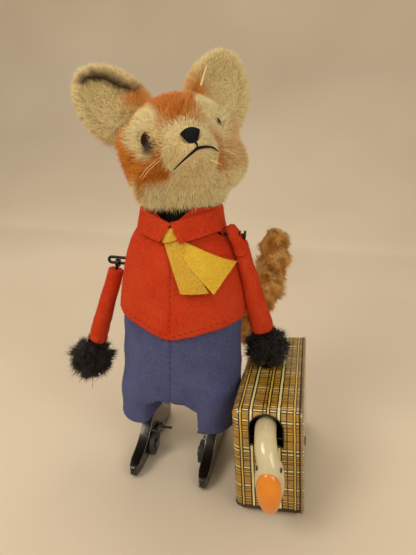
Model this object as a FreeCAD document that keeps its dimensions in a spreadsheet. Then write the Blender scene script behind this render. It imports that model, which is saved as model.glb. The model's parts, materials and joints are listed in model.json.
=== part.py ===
import FreeCAD, Part
import math
import os

import Sketcher

# A clockwork walking figure: a plush fox in felt clothes, with a printed tin travelling case
# beside it and a goose that looks out of the case.
#
# Frame: millimetres, +Z up, the floor at Z = 0, the figure faces -Y and its own left is +X.
# The geometry below is written about the figure's own upright axis. Every finished sub-part
# is then shifted by (-middle_x, -middle_y), which puts the middle of the whole toy's
# footprint at the origin.

DIMENSIONS = {
    # where the figure's axis stands from the middle of the footprint
    "middle_x": 2.922, "middle_y": -2.399,
    # sheet and cloth
    "felt": 1.1, "trouser_felt": 1.0, "tin": 0.5,
    # jacket, outer surface, from the hem up
    "hem_z": 50.0, "hem_half_width": 21.4, "hem_half_depth": 14.8, "hem_side_z": 57.0,
    "waist_z": 57.0, "waist_half_width": 21.3, "waist_half_depth": 14.7,
    "chest_z": 66.0, "chest_half_width": 20.3, "chest_half_depth": 14.2,
    "breast_z": 74.0, "breast_half_width": 18.8, "breast_half_depth": 13.4,
    "shoulder_z": 80.0, "shoulder_half_width": 16.8, "shoulder_half_depth": 12.4,
    "throat_z": 84.5, "throat_half_width": 13.8, "throat_half_depth": 11.2,
    "collar_z": 91.5, "collar_half_width": 12.4, "collar_half_depth": 10.8,
    # trousers, outer surface, from the crotch up
    "crotch_z": 25.4, "crotch_half_width": 20.2, "crotch_half_depth": 13.4,
    "seat_z": 34.0, "seat_half_width": 20.6, "seat_half_depth": 13.8,
    "hip_z": 44.0, "hip_half_width": 20.4, "hip_half_depth": 13.8,
    "band_z": 58.0, "band_half_width": 19.8, "band_half_depth": 13.3,
    "cuff_z": 17.2, "leg_top_z": 32.0, "leg_x": 12.3,
    "leg_half_width": 8.3, "leg_half_depth": 12.6,
    # tin body
    "foot_z": 27.0, "foot_half_width": 18.4, "foot_half_depth": 12.2,
    "belly_z": 44.0, "belly_half_width": 18.7, "belly_half_depth": 12.5,
    "lining": 2.8,
    # neck and head
    "neck_radius": 3.0, "neck_flange": 6.0, "neck_top_z": 98.0, "running_gap": 0.05,
    "head_x": -0.8, "head_y": 0.4, "head_z": 105.6,
    "head_yaw": 18.9, "head_pitch": 21.2, "head_roll": 15.5,
    "skull_radius": 16.8, "muzzle_y": -17.5, "muzzle_z": -6.0, "muzzle_radius": 6.4,
    "cheek_x": 9.2, "cheek_radius": 7.6, "eye_x": 10.0, "eye_y": -12.2, "eye_z": 2.5, "eye_radius": 2.0,
    "nose_y": -22.6, "nose_z": -2.6, "nose_radius": 2.5,
    "left_ear_x": 17.2, "left_ear_y": 2.4, "left_ear_z": 17.9,
    "right_ear_x": -16.4, "right_ear_y": 3.2, "right_ear_z": 22.2,
    "ear_half_width": 9.0, "ear_half_height": 12.0, "ear_thick": 3.2, "ear_splay": 32.0,
    # clockwork frame
    "plate_inner_y": 6.6, "plate": 0.8, "plate_half_width": 10.4, "plate_top_z": 76.0,
    "plate_foot_z": 33.0, "lug_foot_z": 28.6, "pillar_radius": 1.1,
    # gears
    "tooth_size": 0.4, "wheel_teeth": 48.0, "second_teeth": 40.0, "pinion_teeth": 8.0,
    "contrate_teeth": 24.0, "contrate_radius": 5.0, "ratchet_teeth": 12.0,
    "ratchet_radius": 4.0,
    "arbor_z": 62.0, "arbor_radius": 1.5, "pivot_radius": 0.7,
    "spring_radius": 2.3, "spring_pitch": 0.8, "spring_turns": 9.0, "spring_strip": 0.35,
    "spring_width": 5.4,
    # crank and legs
    "crank_y": 3.5, "crank_radius": 0.8, "crank_throw": 2.0, "crank_disc": 3.2,
    "hip_axis_z": 31.0, "hip_radius": 1.0, "strip_x": 12.5, "strip": 0.8,
    # shoes
    "shoe_in_x": 10.1, "shoe_out_x": 13.9, "shoe_wall": 0.6, "toe_y": -18.5, "heel_y": 24.5,
    "ankle_z": 17.0, "roller_y": -4.0, "roller_radius": 4.0,
    "roller_in_x": 8.2, "roller_out_x": 9.8, "ankle_pin_y": 5.0,
    "ankle_pin_z": 5.0, "pin_radius": 0.6,
    # arms
    "wire": 0.5, "sleeve_radius": 2.4, "paw_radius": 5.3,
    "right_shoulder_x": -22.6, "right_shoulder_z": 70.0,
    "right_wrist_x": -31.7, "right_wrist_z": 40.3, "right_paw_x": -34.0, "right_paw_z": 33.5,
    "left_shoulder_x": 18.4, "left_shoulder_y": -5.0, "left_shoulder_z": 83.5,
    "left_wrist_x": 26.9, "left_wrist_y": 3.2, "left_wrist_z": 50.4,
    "sleeve_top_radius": 2.0, "sleeve_end_radius": 2.8, "grip_slot": 2.1,
    "grip_x": 28.6, "grip_y": 6.4, "grip_z": 43.0,
    # tail
    "tail_radius": 4.0, "tail_wire": 0.6, "tail_base_x": 6.0, "tail_base_z": 36.0,
    # travelling case
    "case_x": 24.3, "case_y": -23.2, "case_lean": 5.2,
    "case_wide": 21.0, "case_deep": 55.0, "case_high": 35.6, "case_corner": 2.6,
    "case_edge": 2.4,
    "cover_wide": 1.2, "cover_edge": 0.8, "cover_lip": 2.2, "handle_radius": 0.9, "handle_y": 30.8,
    "handle_reach": 3.2,
    # goose, in the case's own frame
    "goose_x": 10.2, "goose_sway": 1.2, "goose_pin_y": 9.8, "goose_pin_z": 20.0, "goose_pin_radius": 0.8,
    "goose_neck": 2.6, "goose_head": 4.0,
}

Vector = FreeCAD.Vector
Rotation = FreeCAD.Rotation
Constraint = Sketcher.Constraint

doc = FreeCAD.newDocument("walking_figure")
sheet = doc.addObject("Spreadsheet::Sheet", "D")
for row, (alias, number) in enumerate(DIMENSIONS.items(), 1):
    sheet.set(f"A{row}", alias)
    sheet.set(f"B{row}", str(number))
    sheet.setAlias(f"B{row}", alias)
doc.recompute()

# expressions that several sub-parts share
SECOND_Z = "D.arbor_z - D.tooth_size * (D.wheel_teeth + D.pinion_teeth) / 2"
CONTRATE_Z = f"{SECOND_Z} - D.tooth_size * (D.second_teeth + D.pinion_teeth) / 2"
CRANK_PITCH = "D.contrate_radius * D.pinion_teeth / D.contrate_teeth"
PLATE_FACE = "D.plate_inner_y - 0.05"
LOOP_TOP_Z = "(D.right_shoulder_z + 1.9)"
FRAME_POSTS = ("34.6", "71.6")
CLICK_PIVOT = ("-5.8", "D.arbor_z + 2")
TAIL_HOLE = "D.tail_wire + 0.4"
GOOSE_PIN = ("D.goose_pin_y", "D.goose_pin_z")

FINISHED = []
TURNS = {
    "X": Rotation(Vector(0, 1, 0), 90),
    "Y": Rotation(Vector(1, 0, 0), -90),
    "Z": Rotation(),
}


def value(expression):
    """The number a sheet expression stands for."""
    return float(sheet.evalExpression(str(expression)))


def bind(feature, **expressions):
    """Bind properties to the sheet; x, y and z are the feature's place."""
    for name, expression in expressions.items():
        path = f"Placement.Base.{name}" if name in "xyz" else name
        feature.setExpression(path, str(expression))
    return feature


# ---- primitives and booleans -------------------------------------------------------------


def cylinder(name, along, radius, start, end, across=("0", "0")):
    """A round bar along one axis, from start to end; across is its place on the other two."""
    bar = doc.addObject("Part::Cylinder", name)
    bar.Placement.Rotation = TURNS[along]
    place = list(across)
    place.insert("XYZ".index(along), start)
    bind(bar, Radius=radius, Height=f"({end}) - ({start})")
    return bind(bar, x=place[0], y=place[1], z=place[2])


def box(name, across_x, across_y, across_z):
    """A block between two values on each axis."""
    block = doc.addObject("Part::Box", name)
    spans = {"Length": across_x, "Width": across_y, "Height": across_z}
    bind(block, **{side: f"({high}) - ({low})" for side, (low, high) in spans.items()})
    return bind(block, x=across_x[0], y=across_y[0], z=across_z[0])


def ellipsoid(name, radii, centre=("0", "0", "0"), turn=Rotation()):
    """An ellipsoid with a radius along each of its own axes."""
    egg = doc.addObject("Part::Ellipsoid", name)
    egg.Placement.Rotation = turn
    bind(egg, Radius1=radii[2], Radius2=radii[0], Radius3=radii[1])
    return bind(egg, x=centre[0], y=centre[1], z=centre[2])


def sphere(name, radius, centre=("0", "0", "0")):
    """A ball."""
    ball = doc.addObject("Part::Sphere", name)
    return bind(ball, Radius=radius, x=centre[0], y=centre[1], z=centre[2])


def cut(name, base, *tools):
    """Base less the tools."""
    result = doc.addObject("Part::Cut", name)
    result.Base = base
    result.Tool = tools[0] if len(tools) == 1 else fuse(name + "_tools", *tools)
    return result


def fuse(name, *shapes):
    """The shapes as one solid."""
    result = doc.addObject("Part::MultiFuse", name)
    result.Shapes = list(shapes)
    result.Refine = True
    return result


def common(name, *shapes):
    """What the shapes share."""
    result = doc.addObject("Part::MultiCommon", name)
    result.Shapes = list(shapes)
    return result


def group(name, *shapes):
    """Separate solids kept as one sub-part."""
    result = doc.addObject("Part::Compound", name)
    result.Links = list(shapes)
    return result


def mirrored(name, source):
    """The same piece on the figure's other side."""
    result = doc.addObject("Part::Mirroring", name + "_mirror")
    result.Source = source
    result.Normal = Vector(1, 0, 0)
    return result


def rounded_box(name, across_x, across_y, across_z, corner):
    """A block whose four edges along X are rounded."""
    block = box(name + "_block", across_x, across_y, across_z)
    doc.recompute()
    radius = value(corner)
    result = doc.addObject("Part::Fillet", name)
    result.Base = block
    result.Edges = [
        (number, radius, radius)
        for number, edge in enumerate(block.Shape.Edges, 1)
        if abs(edge.tangentAt(edge.FirstParameter).x) > 0.99
    ]
    return result


def soften(name, base, level, radius):
    """Round the edges of a shape that lie in the plane where X is the level."""
    doc.recompute()
    result = doc.addObject("Part::Fillet", name)
    result.Base = base
    plane = value(level)
    result.Edges = [
        (number, value(radius), value(radius))
        for number, edge in enumerate(base.Shape.Edges, 1)
        if all(abs(vertex.X - plane) < 1e-4 for vertex in edge.Vertexes)
    ]
    return result


def ellipse(name, half_width, half_depth, z, x="0"):
    """A level ellipse, as a section for a loft."""
    ring = doc.addObject("Part::Ellipse", name)
    if value(half_width) >= value(half_depth):
        bind(ring, MajorRadius=half_width, MinorRadius=half_depth)
    else:
        ring.Placement.Rotation = Rotation(Vector(0, 0, 1), 90)
        bind(ring, MajorRadius=half_depth, MinorRadius=half_width)
    return bind(ring, x=x, z=z)


def ellipse_loft(name, levels, inset="0", below="0", above="0"):
    """A solid through level ellipses named in the sheet.

    levels holds (name, inset of that level); below and above move the first and the last.
    """
    sections = []
    for number, (level, own_inset) in enumerate(levels):
        z = f"D.{level}_z"
        if number == 0:
            z += f" - ({below})"
        if number == len(levels) - 1:
            z += f" + ({above})"
        shrink = f"({inset} + {own_inset})"
        half_width = f"D.{level}_half_width - {shrink}"
        half_depth = f"D.{level}_half_depth - {shrink}"
        sections.append(ellipse(f"{name}_{level}", half_width, half_depth, z))
    result = doc.addObject("Part::Loft", name)
    result.Sections = sections
    result.Solid = True
    return result


def rod_along(name, points, radius):
    """A round bar swept along a smooth line through the points."""
    nodes = [Vector(*(value(number) for number in point)) for point in points]
    line = Part.BSplineCurve()
    line.interpolate(nodes)
    spine = doc.addObject("Part::Feature", name + "_spine")
    spine.Shape = line.toShape()
    section = doc.addObject("Part::Circle", name + "_section")
    bind(section, Radius=radius)
    along = line.tangent(line.FirstParameter)[0]
    section.Placement = FreeCAD.Placement(nodes[0], Rotation(Vector(0, 0, 1), along))
    result = doc.addObject("Part::Sweep", name)
    result.Sections = [section]
    result.Spine = (spine, [])
    result.Solid = True
    return result


def straight_rod(name, start, end, radius):
    """A round bar between two points."""
    low = Vector(*(value(number) for number in start))
    high = Vector(*(value(number) for number in end))
    bar = doc.addObject("Part::Cylinder", name)
    bind(bar, Radius=radius)
    bar.Height = (high - low).Length
    bar.Placement = FreeCAD.Placement(low, Rotation(Vector(0, 0, 1), high - low))
    return bar


def straight_cone(name, start, end, start_radius, end_radius):
    """A tapering bar between two points."""
    low = Vector(*(value(number) for number in start))
    high = Vector(*(value(number) for number in end))
    taper = doc.addObject("Part::Cone", name)
    bind(taper, Radius1=start_radius, Radius2=end_radius)
    taper.Height = (high - low).Length
    taper.Placement = FreeCAD.Placement(low, Rotation(Vector(0, 0, 1), high - low))
    return taper


# ---- sketched bodies ---------------------------------------------------------------------


def origin_feature(body, role):
    """One of a body's own planes or axes."""
    return next(f for f in body.Origin.OriginFeatures if f.Role == role)


def arc_through(start, via, end):
    """The arc through three points, and which of its ends, 1 or 2, the first point is.

    Its angle always grows anticlockwise, which is how a sketch keeps an arc.
    """
    circle = Part.Arc(start, via, end).toShape().Curve
    centre = circle.Center
    turn = (via - start).cross(end - via).z
    low, high = (start, end) if turn > 0 else (end, start)
    angles = [math.atan2(point.y - centre.y, point.x - centre.x) for point in (low, high)]
    if angles[1] < angles[0]:
        angles[1] += 2 * math.pi
    plain = Part.Circle(centre, Vector(0, 0, 1), circle.Radius)
    return Part.ArcOfCircle(plain, *angles), 1 if turn > 0 else 2


def add_outline(sketch, points):
    """Close a loop through points; ("via", u, v) bends the edge it stands in into an arc."""
    corners = [point for point in points if point[0] != "via"]
    places = [Vector(value(u), value(v), 0) for u, v in corners]
    edges = []
    for number, start in enumerate(places):
        end = places[(number + 1) % len(places)]
        after = points[(points.index(corners[number]) + 1) % len(points)]
        if after[0] == "via":
            curve, begin = arc_through(start, Vector(value(after[1]), value(after[2]), 0), end)
        else:
            curve, begin = Part.LineSegment(start, end), 1
        edges.append((sketch.addGeometry(curve, False), begin))
    for number, (edge, begin) in enumerate(edges):
        last, last_begin = edges[number - 1]
        sketch.addConstraint(Constraint("Coincident", last, 3 - last_begin, edge, begin))
        place = places[number]
        for kind, bound, now in zip(("DistanceX", "DistanceY"), corners[number], place):
            index = sketch.addConstraint(Constraint(kind, edge, begin, now))
            sketch.setExpression(f"Constraints[{index}]", str(bound))


def add_circle(sketch, centre_u, centre_v, radius):
    """Add a circle whose centre and radius follow the sheet."""
    centre = Vector(value(centre_u), value(centre_v), 0)
    edge = sketch.addGeometry(Part.Circle(centre, Vector(0, 0, 1), value(radius)), False)
    for kind, expression in (("DistanceX", centre_u), ("DistanceY", centre_v)):
        index = sketch.addConstraint(Constraint(kind, edge, 3, value(expression)))
        sketch.setExpression(f"Constraints[{index}]", str(expression))
    index = sketch.addConstraint(Constraint("Radius", edge, value(radius)))
    sketch.setExpression(f"Constraints[{index}]", str(radius))


def add_sketch(body, plane, level, loops):
    """A sketch on the body's own plane, moved along that plane's normal to the level."""
    sketch = body.newObject("Sketcher::SketchObject", "sketch")
    sketch.AttachmentSupport = [(origin_feature(body, plane + "_Plane"), "")]
    sketch.MapMode = "FlatFace"
    side = "-" if plane == "XZ" else ""
    sketch.setExpression("AttachmentOffset.Base.z", f"{side}({level})")
    for loop in loops:
        if loop[0] == "circle":
            add_circle(sketch, *loop[1:])
        else:
            add_outline(sketch, loop)
    return sketch


def pad(body, plane, start, end, *loops):
    """Raise loops on XY, XZ or YZ into a solid between start and end on the third axis."""
    level = end if plane == "XZ" else start
    feature = body.newObject("PartDesign::Pad", "pad")
    feature.Profile = add_sketch(body, plane, level, loops)
    feature.setExpression("Length", f"({end}) - ({start})")
    return feature


def pocket(body, plane, start, end, *loops):
    """Remove loops on XY, XZ or YZ between start and end on the third axis."""
    doc.recompute()
    before = body.Shape.Volume
    level = start if plane == "XZ" else end
    feature = body.newObject("PartDesign::Pocket", "pocket")
    feature.Profile = add_sketch(body, plane, level, loops)
    feature.setExpression("Length", f"({end}) - ({start})")
    doc.recompute()
    if body.Shape.Volume >= before:
        raise ValueError(f"{body.Name}: a pocket removed nothing")
    return feature


def rectangle(low_u, high_u, low_v, high_v):
    """A rectangular loop."""
    return [(low_u, low_v), (high_u, low_v), (high_u, high_v), (low_u, high_v)]


def new_body(name):
    """A PartDesign body."""
    return doc.addObject("PartDesign::Body", name)


def toothed_disc(name, plane, teeth, root, tip, start, end, bore=None, hook=0.0):
    """A gear or ratchet about the body's own axis, with a tooth on the plane's second axis.

    hook leans the tooth's tip sideways by that share of the tooth pitch, for a ratchet.
    """
    body = new_body(name)
    loops = [("circle", "0", "0", root)]
    if bore:
        loops.append(("circle", "0", "0", bore))
    pad(body, plane, start, end, *loops)
    doc.recompute()
    pitch = f"pi * (({root}) + ({tip})) / ({teeth})"
    foot = f"({root}) - 0.1"
    tooth = [
        (f"-0.26 * {pitch}", foot),
        (f"0.26 * {pitch}", foot),
        (f"({hook} + 0.11) * {pitch}", tip),
        (f"({hook} - 0.11) * {pitch}", tip),
    ]
    feature = pad(body, plane, start, end, tooth)
    doc.recompute()
    pattern = body.newObject("PartDesign::PolarPattern", "teeth")
    pattern.Originals = [feature]
    axis = {"XZ": "Y_Axis", "YZ": "X_Axis"}[plane]
    pattern.Axis = (origin_feature(body, axis), [""])
    pattern.Angle = 360
    pattern.setExpression("Occurrences", str(teeth))
    body.Tip = pattern
    return body


def gear(name, plane, teeth, size, start, end, bore=None):
    """A spur gear: pitch radius is size times teeth over two."""
    pitch_radius = f"({size}) * ({teeth}) / 2"
    root = f"{pitch_radius} - 1.2 * ({size})"
    tip = f"{pitch_radius} + 0.8 * ({size})"
    return toothed_disc(name, plane, teeth, root, tip, start, end, bore)


def half_tooth_turn(axis, teeth):
    """The turn that brings a gap where a tooth was."""
    return Rotation(axis, 180 / value(teeth))


# ---- finished sub-parts ------------------------------------------------------------------

FIGURE = {"x": "0", "y": "0", "z": "0", "turn": Rotation()}
HEAD = {
    "x": "D.head_x",
    "y": "D.head_y",
    "z": "D.head_z",
    "turn": Rotation(Vector(0, 0, 1), value("D.head_yaw"))
    * Rotation(Vector(1, 0, 0), -value("D.head_pitch"))
    * Rotation(Vector(0, 1, 0), -value("D.head_roll")),
}
CASE = {
    "x": "D.case_x",
    "y": "D.case_y",
    "z": "0",
    "turn": Rotation(Vector(0, 1, 0), -value("D.case_lean")),
}


def finish(label, feature, frame=FIGURE):
    """Name a sub-part and place its frame in the toy's frame."""
    if feature.TypeId in ("Part::Sphere", "Part::Mirroring"):
        feature = group(label + "_piece", feature)
    feature.Label = label
    feature.Placement.Rotation = frame["turn"]
    bind(feature, x=f"{frame['x']} - D.middle_x", y=f"{frame['y']} - D.middle_y")
    bind(feature, z=frame["z"])
    FINISHED.append(feature)


def make_clothes():
    """Jacket, collar, necktie and trousers in felt."""
    names = ("hem", "waist", "chest", "breast", "shoulder", "throat")
    levels = [(name, "0") for name in names]
    outer = ellipse_loft("jacket_outer", levels)
    inner = ellipse_loft("jacket_inner", levels, inset="D.felt", below="1", above="0.5")
    hem = new_body("jacket_hem")
    wide = "D.hem_half_width + 2"
    corners = [
        (f"-({wide})", "D.hem_z - 2"),
        (wide, "D.hem_z - 2"),
        (wide, "D.hem_side_z"),
        ("0", "D.hem_z + 0.5"),
        (f"-({wide})", "D.hem_side_z"),
    ]
    pad(hem, "XZ", "-20", "20", corners)
    key_hole = cylinder("jacket_key_hole", "Y", "3", "8", "20", ("0", "D.arbor_z"))
    pin_place = ("D.left_shoulder_y", "D.left_shoulder_z")
    pin_hole = cylinder("jacket_pin_hole", "X", "D.wire", "10", "22", pin_place)
    loop_place = ("0", "D.right_shoulder_z")
    loop_holes = [
        cylinder("jacket_loop_hole", "X", "D.wire", "-24", "-12", loop_place),
        cylinder("jacket_loop_hole", "X", "D.wire", "-24", "-12", ("0", LOOP_TOP_Z)),
    ]
    finish("jacket", cut("jacket", outer, inner, hem, key_hole, pin_hole, *loop_holes))

    levels = [("throat", "0"), ("collar", "0")]
    outer = ellipse_loft("collar_outer", levels)
    inner = ellipse_loft("collar_inner", levels, inset="D.felt", below="1", above="1")
    opening = new_body("collar_opening")
    notch = [("-1.5", "D.throat_z + 1"), ("7", "D.collar_z + 1"), ("-10", "D.collar_z + 1")]
    pad(opening, "XZ", "-20", "0", notch)
    finish("collar", cut("collar", outer, inner, opening))

    tie = new_body("necktie")
    knot = [("-2", "-2.2"), ("2.6", "-2.4"), ("3.2", "1"), ("-1.6", "1.4")]
    left_end = [("-1.6", "-2"), ("2.4", "-2"), ("14", "-15.7"), ("4.6", "-16")]
    right_end = [("1.5", "-2.2"), ("2", "0.8"), ("18.4", "-4.6"), ("14.4", "-15.4")]
    pad(tie, "XZ", "-2.6", "0", knot)
    pad(tie, "XZ", "-1.2", "0", left_end)
    pad(tie, "XZ", "-1.2", "0", right_end)
    slope = Rotation(Vector(1, 0, 0), -6.5)
    place = {"x": "0", "y": "-D.throat_half_depth - 1.9", "z": "82.5", "turn": slope}
    finish("necktie", tie, place)

    make_trousers()


def make_trousers():
    """Felt trousers with two open legs."""
    levels = [(name, "0") for name in ("crotch", "seat", "hip", "band")]
    seat = ellipse_loft("trousers_seat", levels)
    room = ellipse_loft("trousers_room", levels, inset="D.trouser_felt", below="-1", above="1")

    def leg(side, inset, low, high):
        sections = [
            ellipse(
                f"trouser_leg_{side}", f"D.leg_half_width - {inset}",
                f"D.leg_half_depth - {inset}", z, f"{side}D.leg_x",
            )
            for z in (low, high)
        ]
        tube = doc.addObject("Part::Loft", "trouser_leg")
        tube.Sections = sections
        tube.Solid = True
        return tube

    legs = [leg(side, "0", "D.cuff_z", "D.leg_top_z") for side in ("", "-")]
    rooms = [leg(side, "D.trouser_felt", "D.cuff_z - 1", "D.leg_top_z - 1") for side in ("", "-")]
    tail_place = ("D.tail_base_x", "D.tail_base_z")
    tail_hole = cylinder("trousers_tail_hole", "Y", TAIL_HOLE, "8", "16", tail_place)
    outer = fuse("trousers_outer", seat, *legs)
    finish("trousers", cut("trousers", outer, room, *rooms, tail_hole))


def make_tin_body():
    """The two tin half shells round the clockwork, and the neck post on top of them."""
    inset = "D.lining"
    levels = [("foot", "0"), ("belly", "0")]
    levels += [(name, inset) for name in ("waist", "chest", "breast", "shoulder", "throat")]
    outer = ellipse_loft("tin_outer", levels)
    inner = ellipse_loft("tin_inner", levels, inset="D.tin", below="1", above="-D.tin")
    neck = cylinder("tin_neck_hole", "Z", "D.neck_radius", "80", "90")
    key = cylinder("tin_key_hole", "Y", "2.4", "5", "20", ("0", "D.arbor_z"))
    tail_place = ("D.tail_base_x", "D.tail_base_z")
    tail = cylinder("tin_tail_hole", "Y", TAIL_HOLE, "5", "20", tail_place)
    posts = [
        cylinder("tin_post_hole", "Y", "D.pillar_radius", "-20", "20", ("0", z))
        for z in FRAME_POSTS
    ]
    hollow = cut("tin_body", outer, inner, neck, key, tail, *posts)
    for label, low, high in (("body_shell_front", "-20", "0"), ("body_shell_rear", "0", "20")):
        side = box(label + "_side", ("-25", "25"), (low, high), ("20", "90"))
        finish(label, common(label, hollow, side))

    flange = cylinder("neck_flange", "Z", "D.neck_flange", "D.throat_z", "D.throat_z + 0.8")
    post = cylinder("neck_stem", "Z", "D.neck_radius", "D.throat_z - 3", "D.neck_top_z")
    finish("neck_post", fuse("neck_post", flange, post))


def ear_turn(side):
    """How an ear leans out and turns forward."""
    splay = Rotation(Vector(0, 1, 0), side * value("D.ear_splay"))
    return splay * Rotation(Vector(0, 0, 1), side * 12)


def make_head():
    """The plush head with its ears, nose and glass eyes."""
    skull = sphere("skull", "D.skull_radius")
    tip_y, tip_z = ("D.muzzle_y", "D.muzzle_z")
    tip = sphere("muzzle_tip", "D.muzzle_radius", ("0", tip_y, tip_z))
    ends = (("0", "-6", "-2"), ("0", tip_y, tip_z))
    bridge = straight_cone("muzzle_bridge", *ends, "11", "D.muzzle_radius")
    cheeks = [
        sphere("cheek", "D.cheek_radius", (f"{side}D.cheek_x", "-5", "-6")) for side in ("", "-")
    ]
    eyes = {
        "left_eye": sphere("left_eye_ball", "D.eye_radius", ("D.eye_x", "D.eye_y", "D.eye_z")),
        "right_eye": sphere("right_eye_ball", "D.eye_radius", ("-D.eye_x", "D.eye_y", "D.eye_z")),
    }
    nose = sphere("nose_pad", "D.nose_radius", ("0", "D.nose_y", "D.nose_z"))
    ears = {}
    for label, side in (("left_ear", 1), ("right_ear", -1)):
        place = [f"D.{label}_{axis}" for axis in "xyz"]
        leaf = ellipsoid(
            label + "_leaf", ("D.ear_half_width", "D.ear_thick", "D.ear_half_height"),
            place, ear_turn(side),
        )
        place[1] += " - 2.2"
        cup = ellipsoid(
            label + "_cup", ("D.ear_half_width - 2.2", "D.ear_thick", "D.ear_half_height - 2.4"),
            place, ear_turn(side),
        )
        ears[label] = cut(label + "_cupped", leaf, cup)
    plush = fuse("head_plush", skull, bridge, tip, *cheeks)
    # the bore for the neck is upright in the toy's frame, so it is turned back into the head's
    bore = doc.addObject("Part::Cylinder", "head_bore")
    bind(bore, Radius="D.neck_radius + D.running_gap")
    bore.Height = value("D.neck_top_z + D.running_gap") - 70
    inverse = FreeCAD.Placement(head_origin(), HEAD["turn"]).inverse()
    bore.Placement = inverse.multiply(FreeCAD.Placement(Vector(0, 0, 70), Rotation()))
    trim = doc.addObject("Part::Box", "head_trim")
    trim.Length = trim.Width = 60
    trim.Height = 30
    low = value("D.collar_z") + 0.4
    trim.Placement = inverse.multiply(FreeCAD.Placement(Vector(-30, -30, low - 30), Rotation()))
    tools = [bore, trim, *eyes.values(), nose]
    finish("head_core", cut("head_core", plush, *tools), HEAD)
    for label, ball in eyes.items():
        finish(label, ball, HEAD)
    finish("nose", nose, HEAD)
    for label, leaf in ears.items():
        finish(label, cut(label, leaf, plush), HEAD)


def head_origin():
    """The head's centre about the figure's axis."""
    return Vector(value("D.head_x"), value("D.head_y"), value("D.head_z"))


def make_frame():
    """Plates, pillars and posts of the clockwork."""
    front_y = "-D.plate_inner_y"
    half = "D.plate_half_width"
    crown = "D.plate_half_width - 3"
    shape = [
        (f"-{half}", "D.plate_foot_z"), (half, "D.plate_foot_z"),
        (half, "D.plate_top_z - 8"), (crown, "D.plate_top_z"),
        (f"-({crown})", "D.plate_top_z"), (f"-{half}", "D.plate_top_z - 8"),
    ]
    pillars = [("8.8", "36"), ("-8.8", "36"), ("6", "74"), ("-6", "74")]
    holes = [("circle", x, z, "D.pillar_radius - 0.3") for x, z in pillars]
    holes += [("circle", "0", z, "D.pivot_radius + D.running_gap") for z in (SECOND_Z,)]
    posts = [("circle", "0", z, "D.pillar_radius - 0.3") for z in FRAME_POSTS]
    front = new_body("front_plate")
    front_pivots = [
        ("circle", "0", "D.arbor_z", "1 + D.running_gap"),
        ("circle", "0", CONTRATE_Z, "D.pivot_radius + D.running_gap"),
    ]
    pad(front, "XZ", f"{front_y} - D.plate", front_y, shape, *holes, *posts, *front_pivots)
    finish("front_plate", front)

    rear = new_body("rear_plate")
    winding = ("circle", "0", "D.arbor_z", "D.arbor_radius + 0.03")
    rear_face = "D.plate_inner_y + D.plate"
    pad(rear, "XZ", "D.plate_inner_y", rear_face, shape, *holes, *posts, winding)
    for side in ("", "-"):
        near, far = (f"{side}({half} - 0.8)", f"{side}{half}")
        if side:
            near, far = far, near
        lug = rectangle("1.6", rear_face, "38", "44.4")
        bearing = ("circle", "D.crank_y", CONTRATE_Z, "D.crank_radius + D.running_gap")
        pad(rear, "YZ", near, far, lug, bearing)
        lug = rectangle("1.6", rear_face, "D.lug_foot_z", "D.plate_foot_z + 0.8")
        pivot = ("circle", "D.crank_y", "D.hip_axis_z", "D.hip_radius")
        pad(rear, "YZ", near, far, lug, pivot)
    finish("rear_plate", rear)

    bars = []
    for x, z in pillars:
        body = cylinder("pillar", "Y", "D.pillar_radius", front_y, "D.plate_inner_y", (x, z))
        low = f"{front_y} - D.plate - 0.3"
        high = "D.plate_inner_y + D.plate + 0.3"
        core = cylinder("pillar_ends", "Y", "D.pillar_radius - 0.3", low, high, (x, z))
        bars.append(fuse("frame_pillar", body, core))
    finish("frame_pillars", group("frame_pillars", *bars))

    bars = []
    for z in FRAME_POSTS:
        for side in (-1, 1):
            ends = [f"{side} * (D.plate_inner_y + D.plate)", f"{side} * 12.4"][::side]
            body = cylinder("post", "Y", "D.pillar_radius", *ends, ("0", z))
            ends = [f"{side} * D.plate_inner_y", f"{side} * 10"][::side]
            core = cylinder("post_end", "Y", "D.pillar_radius - 0.3", *ends, ("0", z))
            bars.append(fuse("frame_post", body, core))
    finish("frame_posts", group("frame_posts", *bars))


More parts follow.
